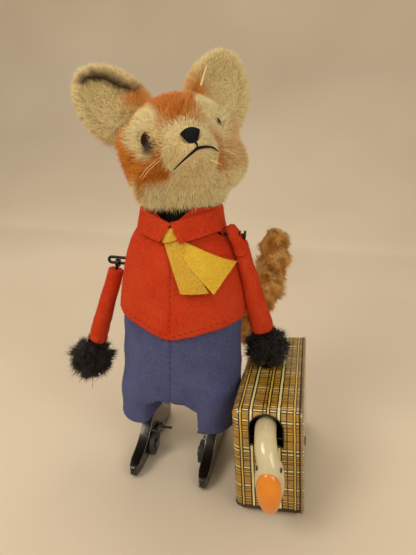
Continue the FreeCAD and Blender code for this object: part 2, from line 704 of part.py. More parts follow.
def make_spring_and_winding():
    """Mainspring, winding arbor, ratchet, click, key and the key's eyelet."""
    coil = doc.addObject("Part::Spiral", "spring_coil")
    bind(coil, Growth="D.spring_pitch", Rotations="D.spring_turns", Radius="D.spring_radius")
    strip = doc.addObject("Part::Plane", "spring_strip")
    strip.Placement.Rotation = Rotation(Vector(1, 0, 0), 90)
    bind(strip, Length="D.spring_strip", Width="D.spring_width")
    bind(strip, x="D.spring_radius - D.spring_strip / 2", z="-D.spring_width / 2")
    ribbon = doc.addObject("Part::Sweep", "spring_ribbon")
    ribbon.Sections = [strip]
    ribbon.Spine = (coil, [])
    ribbon.Solid = True
    ribbon.Frenet = True
    ribbon.Placement.Rotation = Rotation(Vector(1, 0, 0), 90)
    bind(ribbon, y="D.spring_width / 2 + 0.1", z="D.arbor_z")
    finish("mainspring", group("mainspring", ribbon))

    place = ("0", "D.arbor_z")
    barrel = cylinder("arbor_barrel", "Y", "D.arbor_radius", f"-({PLATE_FACE})", "16", place)
    pivot = cylinder("arbor_pivot", "Y", "1", f"-({PLATE_FACE}) - D.plate - 0.4", "0", place)
    square = box("arbor_square", ("-1", "1"), ("15", "22.5"), ("D.arbor_z - 1", "D.arbor_z + 1"))
    finish("winding_arbor", fuse("winding_arbor", barrel, pivot, square))

    ratchet = toothed_disc(
        "ratchet_wheel", "XZ", "D.ratchet_teeth", "D.ratchet_radius - 0.8", "D.ratchet_radius",
        "-4.6", "-3.8", bore="D.arbor_radius", hook=0.25,
    )
    finish("ratchet_wheel", ratchet, {**FIGURE, "z": "D.arbor_z"})

    hub = cylinder("click_hub", "Y", "1.2", "-4.7", "-3.8", CLICK_PIVOT)
    arm = new_body("click_arm")
    outline = [
        ("-6.3", "D.arbor_z + 2.4"), ("-5.2", "D.arbor_z + 1.6"),
        ("-2.4", "D.arbor_z + 3.55"), ("-3.0", "D.arbor_z + 4.3"),
    ]
    pad(arm, "XZ", "-4.6", "-3.9", outline)
    bore = cylinder("click_bore", "Y", "0.6 + D.running_gap", "-5", "-3", CLICK_PIVOT)
    finish("click", cut("click", fuse("click_blank", hub, arm), bore))
    shank = cylinder("click_shank", "Y", "0.6", "-5.6", "-3.5", CLICK_PIVOT)
    head = cylinder("click_head", "Y", "1.2", "-3.7", "-3.4", CLICK_PIVOT)
    finish("click_rivet", fuse("click_rivet", shank, head))

    hub = cylinder("key_hub", "Y", "2.2", "17.5", "24", place)
    socket = box("key_socket", ("-1", "1"), ("17", "22.5"), ("D.arbor_z - 1", "D.arbor_z + 1"))
    wings = new_body("key_wings")
    # two round wings joined by a bar that narrows at the hub
    pad(wings, "XY", "D.arbor_z - 0.6", "D.arbor_z + 0.6", rectangle("-6", "6", "22.6", "27"))
    for side in ("", "-"):
        wing = ("circle", f"{side}6.2", "25", "4.3")
        eye = ("circle", f"{side}6.6", "25", "1.8")
        pad(wings, "XY", "D.arbor_z - 0.6", "D.arbor_z + 0.6", wing)
        pocket(wings, "XY", "D.arbor_z - 1", "D.arbor_z + 1", eye)
    finish("winding_key", cut("winding_key", fuse("key_blank", hub, wings), socket))

    ring = cylinder("eyelet_ring", "Y", "4.2", "D.waist_half_depth + 0.05", "15.6", place)
    tube = cylinder("eyelet_tube", "Y", "3", "12.9", "15", place)
    bore = cylinder("eyelet_bore", "Y", "2.4", "10", "18", place)
    finish("key_eyelet", cut("key_eyelet", fuse("eyelet_blank", ring, tube), bore))


def arbor(name, start, end, z):
    """A wheel's arbor with a thinner pivot at both ends."""
    body = cylinder(name, "Y", "D.pivot_radius + 0.3", start, end, ("0", z))
    reach = (f"{start} - 1.1", f"{end} + 1.1")
    pivots = cylinder(name + "_pivots", "Y", "D.pivot_radius", *reach, ("0", z))
    return [body, pivots]


def on_axis(body, z, turn=Rotation(), x="0", y="0"):
    """Stand a gear body on its arbor's axis."""
    body.Placement.Rotation = turn
    return bind(body, x=x, y=y, z=z)


def make_train():
    """Great wheel, second wheel, contrate wheel with its bridge, and the crankshaft."""
    gap = half_tooth_turn(Vector(0, 1, 0), "D.pinion_teeth")
    bore = "D.arbor_radius + 0.03"
    great = gear("great_gear", "XZ", "D.wheel_teeth", "D.tooth_size", "-5.6", "-4.8", bore)
    rivet = cylinder("great_rivet_hole", "Y", "0.6", "-6", "-4", CLICK_PIVOT)
    finish("great_wheel", cut("great_wheel", on_axis(great, "D.arbor_z"), rivet))

    pinion = gear("second_pinion", "XZ", "D.pinion_teeth", "D.tooth_size", "-5.9", "-4.5")
    wheel = gear("second_gear", "XZ", "D.second_teeth", "D.tooth_size", "-2.6", "-1.8")
    bars = arbor("second_arbor", f"-({PLATE_FACE})", PLATE_FACE, SECOND_Z)
    parts = [on_axis(pinion, SECOND_Z, gap), on_axis(wheel, SECOND_Z), *bars]
    finish("second_wheel", fuse("second_wheel", *parts))

    pinion = gear("contrate_pinion", "XZ", "D.pinion_teeth", "D.tooth_size", "-3.2", "-1.2")
    crown = new_body("contrate_crown")
    rim = "D.contrate_radius + 0.8"
    pad(crown, "XZ", "0.4", "1.2", ("circle", "0", "0", rim))
    doc.recompute()
    tooth = rectangle("D.contrate_radius - 0.8", rim, "-0.26", "0.26")
    teeth = pad(crown, "XZ", "1.1", "2.2", tooth)
    doc.recompute()
    ring = crown.newObject("PartDesign::PolarPattern", "crown_teeth")
    ring.Originals = [teeth]
    ring.Axis = (origin_feature(crown, "Y_Axis"), [""])
    ring.Angle = 360
    ring.setExpression("Occurrences", "D.contrate_teeth")
    crown.Tip = ring
    bar = cylinder("contrate_arbor", "Y", "D.pivot_radius", "-7.7", "1", ("0", CONTRATE_Z))
    collar = cylinder("contrate_collar", "Y", "1", f"-({PLATE_FACE})", "-1.1", ("0", CONTRATE_Z))
    parts = [on_axis(pinion, CONTRATE_Z, gap), on_axis(crown, CONTRATE_Z), bar, collar]
    finish("contrate_wheel", fuse("contrate_wheel", *parts))

    bridge = new_body("contrate_bridge")
    low, high = ("39.6", "42.8")
    bearing = ("circle", "0", CONTRATE_Z, "D.pivot_radius + D.running_gap")
    pad(bridge, "XZ", "-0.9", "-0.2", rectangle("-10", "10", low, high), bearing)
    for side in ("", "-"):
        near, far = ("9.3", "10") if not side else ("-10", "-9.3")
        pad(bridge, "XZ", "-D.plate_inner_y", "-0.9", rectangle(near, far, low, high))
    finish("contrate_bridge", bridge)

    size = f"2 * {CRANK_PITCH} / D.pinion_teeth"
    middle = "D.contrate_radius"
    pinion = gear("crank_pinion", "YZ", "D.pinion_teeth", size, f"{middle} - 0.8", f"{middle} + 0.8")
    gap = half_tooth_turn(Vector(1, 0, 0), "D.pinion_teeth")
    place = ("D.crank_y", CONTRATE_Z)
    parts = [on_axis(pinion, CONTRATE_Z, gap, y="D.crank_y")]
    parts.append(cylinder("crank_bar", "X", "D.crank_radius", "-11.5", "11.5", place))
    for side in (-1, 1):
        ends = [f"{side} * 11", f"{side} * 11.8"][::side]
        parts.append(cylinder("crank_web", "X", "D.crank_disc", *ends, place))
        ends = [f"{side} * 11.5", f"{side} * (D.strip_x - 0.2)"][::side]
        pin_place = ("D.crank_y", f"{CONTRATE_Z} + {side} * D.crank_throw")
        parts.append(cylinder("crank_pin", "X", "0.5", *ends, pin_place))
    finish("crankshaft", fuse("crankshaft", *parts))


def make_legs():
    """Hip shaft, walking legs, shoes, rollers and their pawls."""
    place = ("D.crank_y", "D.hip_axis_z")
    parts = [cylinder("hip_bar", "X", "D.hip_radius", "-14.3", "14.3", place)]
    for side in (-1, 1):
        ends = [f"{side} * 11.9", f"{side} * (D.strip_x - 0.1)"][::side]
        parts.append(cylinder("hip_collar", "X", "1.8", *ends, place))
        ends = [f"{side} * (D.strip_x + D.strip + 0.1)", f"{side} * 14.3"][::side]
        parts.append(cylinder("hip_head", "X", "1.6", *ends, place))
    finish("hip_shaft", fuse("hip_shaft", *parts))

    leg = new_body("leg_strip")
    middle = "D.crank_y"
    shape = [
        (f"{middle} - 2.5", "6"), (f"{middle} + 2.5", "6"), (f"{middle} + 2.5", "34"),
        (f"{middle} + 1.6", "36"), (f"{middle} + 1.6", "44.6"), (f"{middle} - 1.6", "44.6"),
        (f"{middle} - 1.6", "36"), (f"{middle} - 2.5", "34"),
    ]
    slot = rectangle(f"{middle} - 0.55", f"{middle} + 0.55", "38.6", "43.8")
    pivot = ("circle", middle, "D.hip_axis_z", "D.hip_radius + D.running_gap")
    pad(leg, "YZ", "D.strip_x", "D.strip_x + D.strip", shape, slot, pivot)
    finish("left_leg", group("left_leg_piece", leg))
    finish("right_leg", mirrored("right_leg", leg))

    shoe = make_shoe()
    finish("left_shoe", group("left_shoe_piece", shoe))
    finish("right_shoe", mirrored("right_shoe", shoe))

    place = ("D.roller_y", "D.roller_radius")
    roller = toothed_disc(
        "roller_disc", "YZ", "24", "D.roller_radius - 0.3", "D.roller_radius",
        "D.roller_in_x", "D.roller_out_x", bore="1 + D.running_gap",
    )
    on_axis(roller, "D.roller_radius", y="D.roller_y")
    inner_wall = "D.shoe_in_x + D.shoe_wall"
    shank = cylinder("axle_shank", "X", "1", "D.roller_in_x - 0.3", f"{inner_wall} + 0.3", place)
    head = cylinder("axle_head", "X", "1.7", "D.roller_in_x - 0.7", "D.roller_in_x - 0.1", place)
    axle = fuse("roller_axle", shank, head)
    pin_place = ("D.ankle_pin_y", "D.ankle_pin_z")
    pin = fuse(
        "ankle_pin",
        cylinder("pin_shank", "X", "D.pin_radius", "5", "11.4", pin_place),
        cylinder("pin_head", "X", "1.4", inner_wall, f"{inner_wall} + 0.6", pin_place),
    )
    pawl = make_pawl(pin_place)
    for label, piece in (
        ("roller", roller), ("roller_axle", axle), ("ankle_pin", pin), ("pawl", pawl),
    ):
        finish("left_" + label, group("left_" + label, piece))
        finish("right_" + label, mirrored("right_" + label, piece))


def make_shoe():
    """A pressed tin shoe, open below, that the leg strip is fixed in."""
    shoe = new_body("shoe")
    toe, heel, top, wall = ("D.toe_y", "D.heel_y", "D.ankle_z", "D.shoe_wall")

    def profile(inset, floor):
        return [
            (f"{toe} + 2.15 + {inset}", floor),
            ("via", f"{toe} + {inset}", "2.15"),
            (f"{toe} + 2.15 + {inset}", f"4.3 - {inset}"),
            ("via", "-7.5", f"7.2 - {inset}"),
            (f"-1 + {inset} / 2", f"{top} - 2"),
            ("via", f"-0.7 + {inset}", f"{top} - 0.8"),
            (f"-0.2 + {inset}", top),
            (f"7.6 - {inset}", top),
            ("via", f"10.8 - {inset} / 2", f"11 - {inset}"),
            (f"{heel} - 3.5", f"4.549 - {inset}"),
            ("via", f"{heel} - {inset}", "2.6"),
            (f"{heel} - 2.4 - {inset}", floor),
        ]

    pad(shoe, "YZ", "D.shoe_in_x", "D.shoe_out_x", profile("0", "0"))
    # the leg comes in through the open ankle, so the hollow runs out above it
    room = [
        (point[0], f"{top} + 1") if point[1] == top else point for point in profile(wall, "-1")
    ]
    pocket(shoe, "YZ", f"D.shoe_in_x + {wall}", f"D.shoe_out_x - {wall}", room)
    holes = [
        ("circle", "D.roller_y", "D.roller_radius", "1"),
        ("circle", "D.ankle_pin_y", "D.ankle_pin_z", "D.pin_radius"),
    ]
    pocket(shoe, "YZ", "D.shoe_in_x - 1", f"D.shoe_in_x + {wall} + 1", *holes)
    return shoe


def make_pawl(pin_place):
    """The loose pawl that lets its roller turn one way only."""
    hub = cylinder("pawl_hub", "X", "1.7", "8.4", "9.6", pin_place)
    arm = new_body("pawl_arm")
    outline = [("4.6", "3.8"), ("5.2", "6.2"), ("-0.4", "7.6"), ("-0.7", "6.9")]
    pad(arm, "YZ", "8.5", "9.5", outline)
    bore = cylinder("pawl_bore", "X", "D.pin_radius + D.running_gap", "8", "10", pin_place)
    return cut("pawl_blank", fuse("pawl_solid", hub, arm), bore)


def make_arms():
    """Both felt arms on their wires, with plush paws."""
    shoulder = ("D.right_shoulder_x", "0", "D.right_shoulder_z")
    inside = "-17"
    bend_x = "D.right_shoulder_x - 2.2"
    lower = cylinder("loop_lower", "X", "D.wire", bend_x, inside, ("0", "D.right_shoulder_z"))
    upper = cylinder("loop_upper", "X", "D.wire", bend_x, inside, ("0", LOOP_TOP_Z))
    bend = doc.addObject("Part::Torus", "loop_bend")
    bind(bend, Radius1=f"({LOOP_TOP_Z} - D.right_shoulder_z) / 2", Radius2="D.wire")
    bend.Angle3 = 180
    turn = Rotation(Vector(1, 0, 0), 90) * Rotation(Vector(0, 0, 1), 90)
    bend.Placement.Rotation = turn
    bind(bend, x=bend_x, z=f"(D.right_shoulder_z + {LOOP_TOP_Z}) / 2")
    finish("right_shoulder_wire", fuse("right_shoulder_wire", lower, upper, bend))

    wrist = ("D.right_wrist_x", "0", "D.right_wrist_z")
    paw = ("D.right_paw_x", "0", "D.right_paw_z")
    make_arm("right", shoulder, wrist, paw, "D.sleeve_radius", "D.sleeve_radius")

    pin_place = ("D.left_shoulder_y", "D.left_shoulder_z")
    head_x = "D.left_shoulder_x + 2.2"
    shank = cylinder("left_pin_shank", "X", "D.wire", "14", head_x, pin_place)
    head = cylinder("left_pin_head", "X", "1.4", f"{head_x} - 0.5", head_x, pin_place)
    finish("left_shoulder_pin", fuse("left_shoulder_pin", shank, head))
    shoulder = ("D.left_shoulder_x", "D.left_shoulder_y", "D.left_shoulder_z")
    wrist = ("D.left_wrist_x", "D.left_wrist_y", "D.left_wrist_z")
    paw = ("D.grip_x", "D.grip_y", "D.grip_z")
    grip = cylinder("paw_grip", "Y", "D.handle_radius + D.running_gap", "-20", "20", (paw[0], paw[2]))
    across = ("D.grip_x - D.grip_slot", "D.grip_x + D.grip_slot")
    slot = box("paw_slot", across, ("-20", "20"), ("20", "D.grip_z"))
    make_arm("left", shoulder, wrist, paw, "D.sleeve_top_radius", "D.sleeve_end_radius", grip, slot)


def between(start, end, share):
    """The place at a share of the way from start to end, as expressions."""
    return tuple(f"({a}) + {share} * (({b}) - ({a}))" for a, b in zip(start, end))


def make_arm(side, shoulder, wrist, paw, top_radius, end_radius, *paw_cuts):
    """A wire with an eye at the shoulder, a felt sleeve round it and a paw on its end."""
    eye_x, *eye_place = shoulder
    eye = cylinder("arm_eye", "X", "1.3", f"{eye_x} - 0.6", f"{eye_x} + 0.6", eye_place)
    bar = straight_rod("arm_bar", between(shoulder, wrist, 0.03), wrist, "D.wire")
    bore = "D.wire + D.running_gap"
    hole = cylinder("arm_eye_hole", "X", bore, f"{eye_x} - 2", f"{eye_x} + 2", eye_place)
    wire = cut(f"{side}_arm_wire", fuse("arm_wire_blank", eye, bar), hole)
    finish(f"{side}_arm_wire", wire)

    ends = (between(shoulder, wrist, 0.08), between(shoulder, wrist, 0.97))
    tube = straight_cone("sleeve_tube", *ends, top_radius, end_radius)
    core = straight_rod("sleeve_core", shoulder, wrist, "D.wire")
    finish(f"{side}_sleeve", cut(f"{side}_sleeve", tube, core))

    ball = ellipsoid("paw_ball", ("D.paw_radius", "D.paw_radius", "D.paw_radius + 0.6"), paw)
    tube = straight_cone("paw_sleeve_room", *ends, top_radius, end_radius)
    core = straight_rod("paw_wire_room", shoulder, wrist, "D.wire")
    finish(f"{side}_paw", cut(f"{side}_paw", ball, tube, core, *paw_cuts))


def make_tail():
    """A plush tail on a wire that stands out of the back of the trousers."""
    x, z = ("D.tail_base_x", "D.tail_base_z")
    curve = [
        (x, "11", z), (x, "14", z), ("12", "20", "38"), ("20", "22.5", "46"),
        ("25.4", "23", "57"), ("27.5", "23", "69"), ("28.2", "23", "82"),
    ]
    plush = rod_along("tail_plush", curve, "D.tail_radius")
    wire = rod_along("tail_wire_bar", curve, "D.tail_wire")
    inside = box("tail_trim", ("-10", "20"), ("0", "14.6"), ("20", "50"))
    finish("tail", cut("tail", plush, inside, wire))
    end = box("tail_wire_trim", ("20", "40"), ("15", "30"), ("78", "90"))
    finish("tail_wire", cut("tail_wire", wire, end))


def make_case():
    """The printed tin travelling case, its cover and its wire handle."""
    split = "D.case_wide - D.cover_wide"
    tin = "D.tin"

    def block(name, low_x, high_x, inset):
        spans = [(f"{inset}", f"D.case_{side} - {inset}") for side in ("deep", "high")]
        return rounded_box(name, (low_x, high_x), *spans, f"D.case_corner - {inset}")

    outer = soften("case_outer", block("case_blank", "0", split, "0"), "0", "D.case_edge")
    hollow = block("case_hollow", tin, f"{split} + 1", tin)
    room = soften("case_room", hollow, tin, f"D.case_edge - {tin}")
    arch = new_body("case_arch")
    half = "5"
    sill, spring = ("24.2", "30.2")
    outline = [
        (f"D.goose_x - {half}", sill), (f"D.goose_x + {half}", sill),
        (f"D.goose_x + {half}", spring), ("via", "D.goose_x", f"{spring} + 4.4"),
        (f"D.goose_x - {half}", spring),
    ]
    pad(arch, "XZ", "-2", "3", outline)
    pin = cylinder("case_pin_hole", "X", "D.goose_pin_radius", "-2", "30", GOOSE_PIN)
    handle = handle_solid("case_handle_room")
    finish("case_body", cut("case_body", outer, room, arch, pin, handle), CASE)

    blank = block("cover_lid_blank", split, "D.case_wide", "0")
    lid = soften("cover_lid", blank, "D.case_wide", "D.cover_edge")
    lip = block("cover_lip", f"{split} - D.cover_lip", split, tin)
    hollow = block("cover_room", f"{split} - D.cover_lip - 1", split, f"2 * {tin}")
    pin = cylinder("cover_pin_hole", "X", "D.goose_pin_radius", "10", "30", GOOSE_PIN)
    cover = fuse("cover_blank", lid, cut("cover_rim", lip, hollow))
    finish("case_side_cover", cut("case_side_cover", cover, pin), CASE)
    finish("case_handle", handle_solid("case_handle"), CASE)


def handle_solid(name):
    """A wire bail: a bar along the case's depth with two legs into its top."""
    bar_x, bar_z = handle_place()
    front = "D.handle_y - D.handle_reach"
    back = "D.handle_y + D.handle_reach"
    bar = cylinder(name + "_bar", "Y", "D.handle_radius", front, back, (bar_x, bar_z))
    legs = [
        cylinder(name + "_leg", "Z", "D.handle_radius", "D.case_high - 2", bar_z, (bar_x, y))
        for y in (front, back)
    ]
    ball = ("D.handle_radius", "D.handle_radius", "D.handle_radius")
    ends = [ellipsoid(name + "_elbow", ball, (bar_x, y, bar_z)) for y in (front, back)]
    return fuse(name, bar, *legs, *ends)


def handle_place():
    """The grip's axis in the case's own frame, which leans about its lower left edge."""
    lean = math.radians(value("D.case_lean"))
    across = value("D.grip_x - D.case_x")
    up = value("D.grip_z")
    x = across * math.cos(lean) + up * math.sin(lean)
    z = up * math.cos(lean) - across * math.sin(lean)
    return str(x), str(z)


def make_goose():
    """The goose's neck and head on a see-saw lever, its bill and the pin it turns on."""
    pin_y, pin_z = GOOSE_PIN
    x = "D.goose_x"
    head_x = f"{x} + D.goose_sway"
    head = (head_x, "-9.4", "22")
    curve = [
        (x, "9", "27.5"), (x, "0", "30.6"), (f"{x} + 0.3 * D.goose_sway", "-5.4", "30.4"),
        (f"{x} + 0.7 * D.goose_sway", "-8.2", "27"), head,
    ]
    neck = rod_along("goose_curve", curve, "D.goose_neck")
    skull = sphere("goose_skull", "D.goose_head", head)
    hub = cylinder("goose_hub", "X", "2.4", f"{x} - 1.6", f"{x} + 1.6", GOOSE_PIN)
    thin = (f"{x} - 0.8", f"{x} + 0.8")
    lever = box("goose_lever", thin, (f"{pin_y} - 1.5", f"{pin_y} + 1.5"), (pin_z, "28"))
    beam = box("goose_beam", thin, (pin_y, "22"), (f"{pin_z} - 1", f"{pin_z} + 1"))
    bore = cylinder("goose_bore", "X", "D.goose_pin_radius + D.running_gap", "0", "21", GOOSE_PIN)
    solid = fuse("goose_solid", neck, skull, hub, lever, beam)
    finish("goose", cut("goose", solid, bore), CASE)

    tilt = Rotation(Vector(1, 0, 0), 4)
    bill = ellipsoid("goose_bill_horn", ("3.5", "2.4", "6.6"), (head_x, "-10.4", "15.4"), tilt)
    finish("goose_bill", cut("goose_bill", bill, skull), CASE)

    weight = cylinder("goose_lead", "X", "4", f"{x} - 4", f"{x} + 4", ("25", pin_z))
    finish("goose_weight", cut("goose_weight", weight, beam), CASE)

    shank = cylinder(
        "goose_pin_bar", "X", "D.goose_pin_radius", "-0.4", "D.case_wide + 0.4", GOOSE_PIN
    )
    heads = [
        cylinder("goose_pin_head", "X", "1.3", low, f"{low} + 0.4", GOOSE_PIN)
        for low in ("-0.4", "D.case_wide")
    ]
    finish("goose_pin", fuse("goose_pin", shank, *heads), CASE)


def main():
    """Build every sub-part, check it and write its STEP file."""
    for make in (
        make_clothes, make_tin_body, make_head, make_frame, make_spring_and_winding,
        make_train, make_legs, make_arms, make_tail, make_case, make_goose,
    ):
        make()
    doc.recompute()
    failed = [o.Label for o in doc.Objects if {"Invalid", "Error"} & set(o.State)]
    if failed:
        raise ValueError(f"failed objects: {failed}")
    for feature in FINISHED:
        if feature.Shape.isNull() or not feature.Shape.isValid():
            raise ValueError(f"{feature.Label} has no valid shape")
    os.makedirs("parts", exist_ok=True)
    for feature in FINISHED:
        feature.Shape.exportStep(f"parts/{feature.Label}.step")


main()
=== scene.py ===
import json
import math

import bmesh
import bpy
import numpy as np
from mathutils import Matrix, Vector
from mathutils.bvhtree import BVHTree


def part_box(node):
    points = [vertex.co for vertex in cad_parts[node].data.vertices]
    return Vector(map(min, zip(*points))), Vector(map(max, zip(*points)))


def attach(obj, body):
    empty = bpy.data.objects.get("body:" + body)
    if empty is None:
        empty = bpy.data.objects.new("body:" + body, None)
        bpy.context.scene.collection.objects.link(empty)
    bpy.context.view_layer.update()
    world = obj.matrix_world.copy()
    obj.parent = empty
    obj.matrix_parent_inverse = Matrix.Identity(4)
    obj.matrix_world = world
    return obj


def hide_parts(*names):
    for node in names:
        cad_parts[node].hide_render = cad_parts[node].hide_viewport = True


# The looks of the clockwork walking figure. Lengths are written in millimetres and turned
# into metres where a mesh is made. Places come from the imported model's boxes and joints.

MM = 0.001
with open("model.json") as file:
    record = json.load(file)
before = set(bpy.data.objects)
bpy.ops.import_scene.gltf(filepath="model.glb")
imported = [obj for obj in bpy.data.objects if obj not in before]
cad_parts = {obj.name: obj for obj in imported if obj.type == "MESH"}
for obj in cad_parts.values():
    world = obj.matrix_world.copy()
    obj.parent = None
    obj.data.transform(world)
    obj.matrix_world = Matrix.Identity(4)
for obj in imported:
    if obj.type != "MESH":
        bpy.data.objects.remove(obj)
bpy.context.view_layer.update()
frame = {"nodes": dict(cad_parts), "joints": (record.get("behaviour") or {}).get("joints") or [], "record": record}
NODES = frame["nodes"]
JOINTS = {joint["name"]: joint for joint in frame["joints"]}
rng = np.random.default_rng(7)
FUR_SHARE = 1.0


def srgb(red, green, blue):
    """A linear colour from 0 to 255 display values."""
    steps = [channel / 255 for channel in (red, green, blue)]
    return tuple(s / 12.92 if s <= 0.04045 else ((s + 0.055) / 1.055) ** 2.4 for s in steps)


def unit(rows):
    """Rows scaled to length one."""
    rows = np.asarray(rows, float)
    return rows / np.maximum(np.linalg.norm(rows, axis=-1, keepdims=True), 1e-9)


def smooth(values, low, high):
    """0 below low, 1 above high, and a smooth step between."""
    t = np.clip((np.asarray(values, float) - low) / (high - low), 0, 1)
    return t * t * (3 - 2 * t)


def blend(first, second, share):
    """What lies between first and second, at a share from 0 to 1."""
    return first * (1 - share) + second * share


def box_of(node):
    """The lowest and highest corner of a CAD node at rest, in millimetres."""
    return tuple(np.array(corner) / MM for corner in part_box(node))


def centre(node):
    """The middle of a CAD node's box, in millimetres."""
    low, high = box_of(node)
    return (low + high) / 2


def link(name, data):
    """A new object in the scene."""
    thing = bpy.data.objects.new(name, data)
    bpy.context.scene.collection.objects.link(thing)
    return thing


def dress(mesh, material):
    """Give a mesh one material."""
    mesh.materials.clear()
    mesh.materials.append(material)


# ---- frames of the toy, in millimetres ---------------------------------------------------


class Place:
    """A local frame: an origin and three axes as rows."""

    def __init__(self, origin, axes=None):
        self.origin = np.array(origin, float)
        self.axes = np.eye(3) if axes is None else np.array(axes, float)

    def out(self, points):
        """Points of this frame in the toy's frame."""
        return np.asarray(points, float) @ self.axes + self.origin

    def into(self, points):
        """Points of the toy's frame in this frame."""
        return (np.asarray(points, float) - self.origin) @ self.axes.T


neck = centre("neck_post")
FIGURE = Place((neck[0], neck[1], 0))


def head_place():
    """The head's frame, from the places of its eyes and nose."""
    eyes = [centre(name) for name in ("right_eye", "left_eye")]
    middle = (eyes[0] + eyes[1]) / 2
    across = unit(eyes[1] - eyes[0])
    forward = centre("nose") - middle
    forward = unit(forward - (forward @ across) * across)
    below = np.cross(across, forward)
    before, beneath = 10.4, 5.1  # how far the nose stands before the eyes and below them
    run, drop = (-part / math.hypot(before, beneath) for part in (before, beneath))
    back = run * forward - drop * below
    up = drop * forward + run * below
    return Place(middle + 12.2 * back - 2.5 * up, (across, back, up))


def case_place():
    """The travelling case's frame, from the goose's pin."""
    joint = JOINTS["goose_bob"]
    across = np.array(joint["axis"])
    up = np.array((-across[2], 0, across[0]))
    axes = np.array((across, (0, 1, 0), up))
    return Place(np.array(joint["pos_m"]) / MM - np.array((10.2, 9.8, 20)) @ axes, axes)


HEAD = head_place()
CASE = case_place()


# ---- materials ---------------------------------------------------------------------------


class Paint:
    """A material built from nodes, with coordinates in millimetres."""

    def __init__(self, name, place=None):
        self.material = bpy.data.materials.new(name)
        self.material.use_nodes = True
        self.nodes = self.material.node_tree.nodes
        self.links = self.material.node_tree.links
        self.shader = self.nodes["Principled BSDF"]
        self.source = self.nodes.new("ShaderNodeTexCoord")
        mapping = self.nodes.new("ShaderNodeMapping")
        mapping.vector_type = "TEXTURE"
        mapping.inputs["Scale"].default_value = (MM, MM, MM)
        if place is not None:
            mapping.inputs["Location"].default_value = place.origin * MM
            turn = Matrix(place.axes.T.tolist()).to_euler()
            mapping.inputs["Rotation"].default_value = turn
        self.links.new(self.source.outputs["Object"], mapping.inputs["Vector"])
        self.where = mapping.outputs["Vector"]

    def feed(self, socket, value):
        """Link or set one input."""
        if isinstance(value, bpy.types.NodeSocket):
            self.links.new(value, socket)
        elif isinstance(value, tuple) and len(value) == 3 and socket.type == "RGBA":
            socket.default_value = (*value, 1)
        else:
            socket.default_value = value

    def noise(self, scale, detail=3.0, rough=0.5, stretch=None):
        """Noise between 0 and 1; scale is in cells per millimetre."""
        node = self.nodes.new("ShaderNodeTexNoise")
        node.inputs["Scale"].default_value = scale
        node.inputs["Detail"].default_value = detail
        node.inputs["Roughness"].default_value = rough
        where = self.where
        if stretch:
            scaler = self.nodes.new("ShaderNodeVectorMath")
            scaler.operation = "MULTIPLY"
            self.links.new(where, scaler.inputs[0])
            scaler.inputs[1].default_value = stretch
            where = scaler.outputs[0]
        self.links.new(where, node.inputs["Vector"])
        return node.outputs["Fac"]

    def math(self, operation, first, second=0.0):
        """One sum or comparison of two numbers."""
        node = self.nodes.new("ShaderNodeMath")
        node.operation = operation
        for socket, value in zip(node.inputs, (first, second)):
            self.feed(socket, value)
        return node.outputs[0]

    def ramp(self, factor, *stops, hard=False):
        """A colour ramp; each stop is (position, colour) or (position, colour, alpha)."""
        node = self.nodes.new("ShaderNodeValToRGB")
        band = node.color_ramp
        band.interpolation = "CONSTANT" if hard else "LINEAR"
        while len(band.elements) < len(stops):
            band.elements.new(1.0)
        for element, (position, colour, *alpha) in zip(band.elements, stops):
            element.position = position
            element.color = (*colour, alpha[0] if alpha else 1)
        self.feed(node.inputs[0], factor)
        return node.outputs["Color"], node.outputs["Alpha"]

    def mix(self, factor, first, second):
        """A colour that runs from first to second with the factor."""
        node = self.nodes.new("ShaderNodeMix")
        node.data_type = "RGBA"
        self.feed(node.inputs["Factor"], factor)
        self.feed(node.inputs[6], first)
        self.feed(node.inputs[7], second)
        return node.outputs[2]

    def grey(self, factor, low, high):
        """A number that runs from low to high with the factor."""
        node = self.nodes.new("ShaderNodeMapRange")
        self.feed(node.inputs["Value"], factor)
        node.inputs["To Min"].default_value = low
        node.inputs["To Max"].default_value = high
        return node.outputs[0]

    def attribute(self, name, output="Color"):
        """A value that the mesh's points hold."""
        node = self.nodes.new("ShaderNodeAttribute")
        node.attribute_name = name
        return node.outputs[output]

    def bump(self, height, depth):
        """Bump with its depth in millimetres."""
        node = self.nodes.new("ShaderNodeBump")
        node.inputs["Strength"].default_value = 1.0
        node.inputs["Distance"].default_value = depth * MM
        self.feed(node.inputs["Height"], height)
        self.links.new(node.outputs["Normal"], self.shader.inputs["Normal"])

    def set(self, **inputs):
        """Set the shader's inputs; underscores stand for spaces."""
        for name, value in inputs.items():
            self.feed(self.shader.inputs[name.replace("_", " ")], value)


def felt(name, colour, light, dark):
    """Pressed wool: a fibrous grain, faint clouds and a soft sheen."""
    paint = Paint(name)
    clouds = paint.noise(0.09, 3)
    tangle = paint.noise(2.6, 5, 0.72)
    hairs = paint.noise(1.1, 4, 0.6, (1.0, 1.0, 5.0))
    crossing = paint.noise(1.0, 4, 0.6, (6.0, 1.0, 1.0))
    base, _ = paint.ramp(tangle, (0.3, dark), (0.5, colour), (0.72, light))
    worn = paint.mix(paint.grey(clouds, -0.25, 0.75), base, light)
    fibre = paint.math("MAXIMUM", hairs, crossing)
    lint, _ = paint.ramp(fibre, (0.0, (0, 0, 0)), (0.64, (0, 0, 0)), (0.75, (0.5, 0.5, 0.5)))
    paint.set(Base_Color=paint.mix(lint, worn, light), Roughness=0.95)
    paint.set(Sheen_Weight=0.35, Sheen_Roughness=0.6, Sheen_Tint=light, Specular_IOR_Level=0.15)
    height = paint.math("ADD", tangle, paint.math("MULTIPLY", fibre, 0.8))
    paint.bump(height, 0.16)
    return paint.material


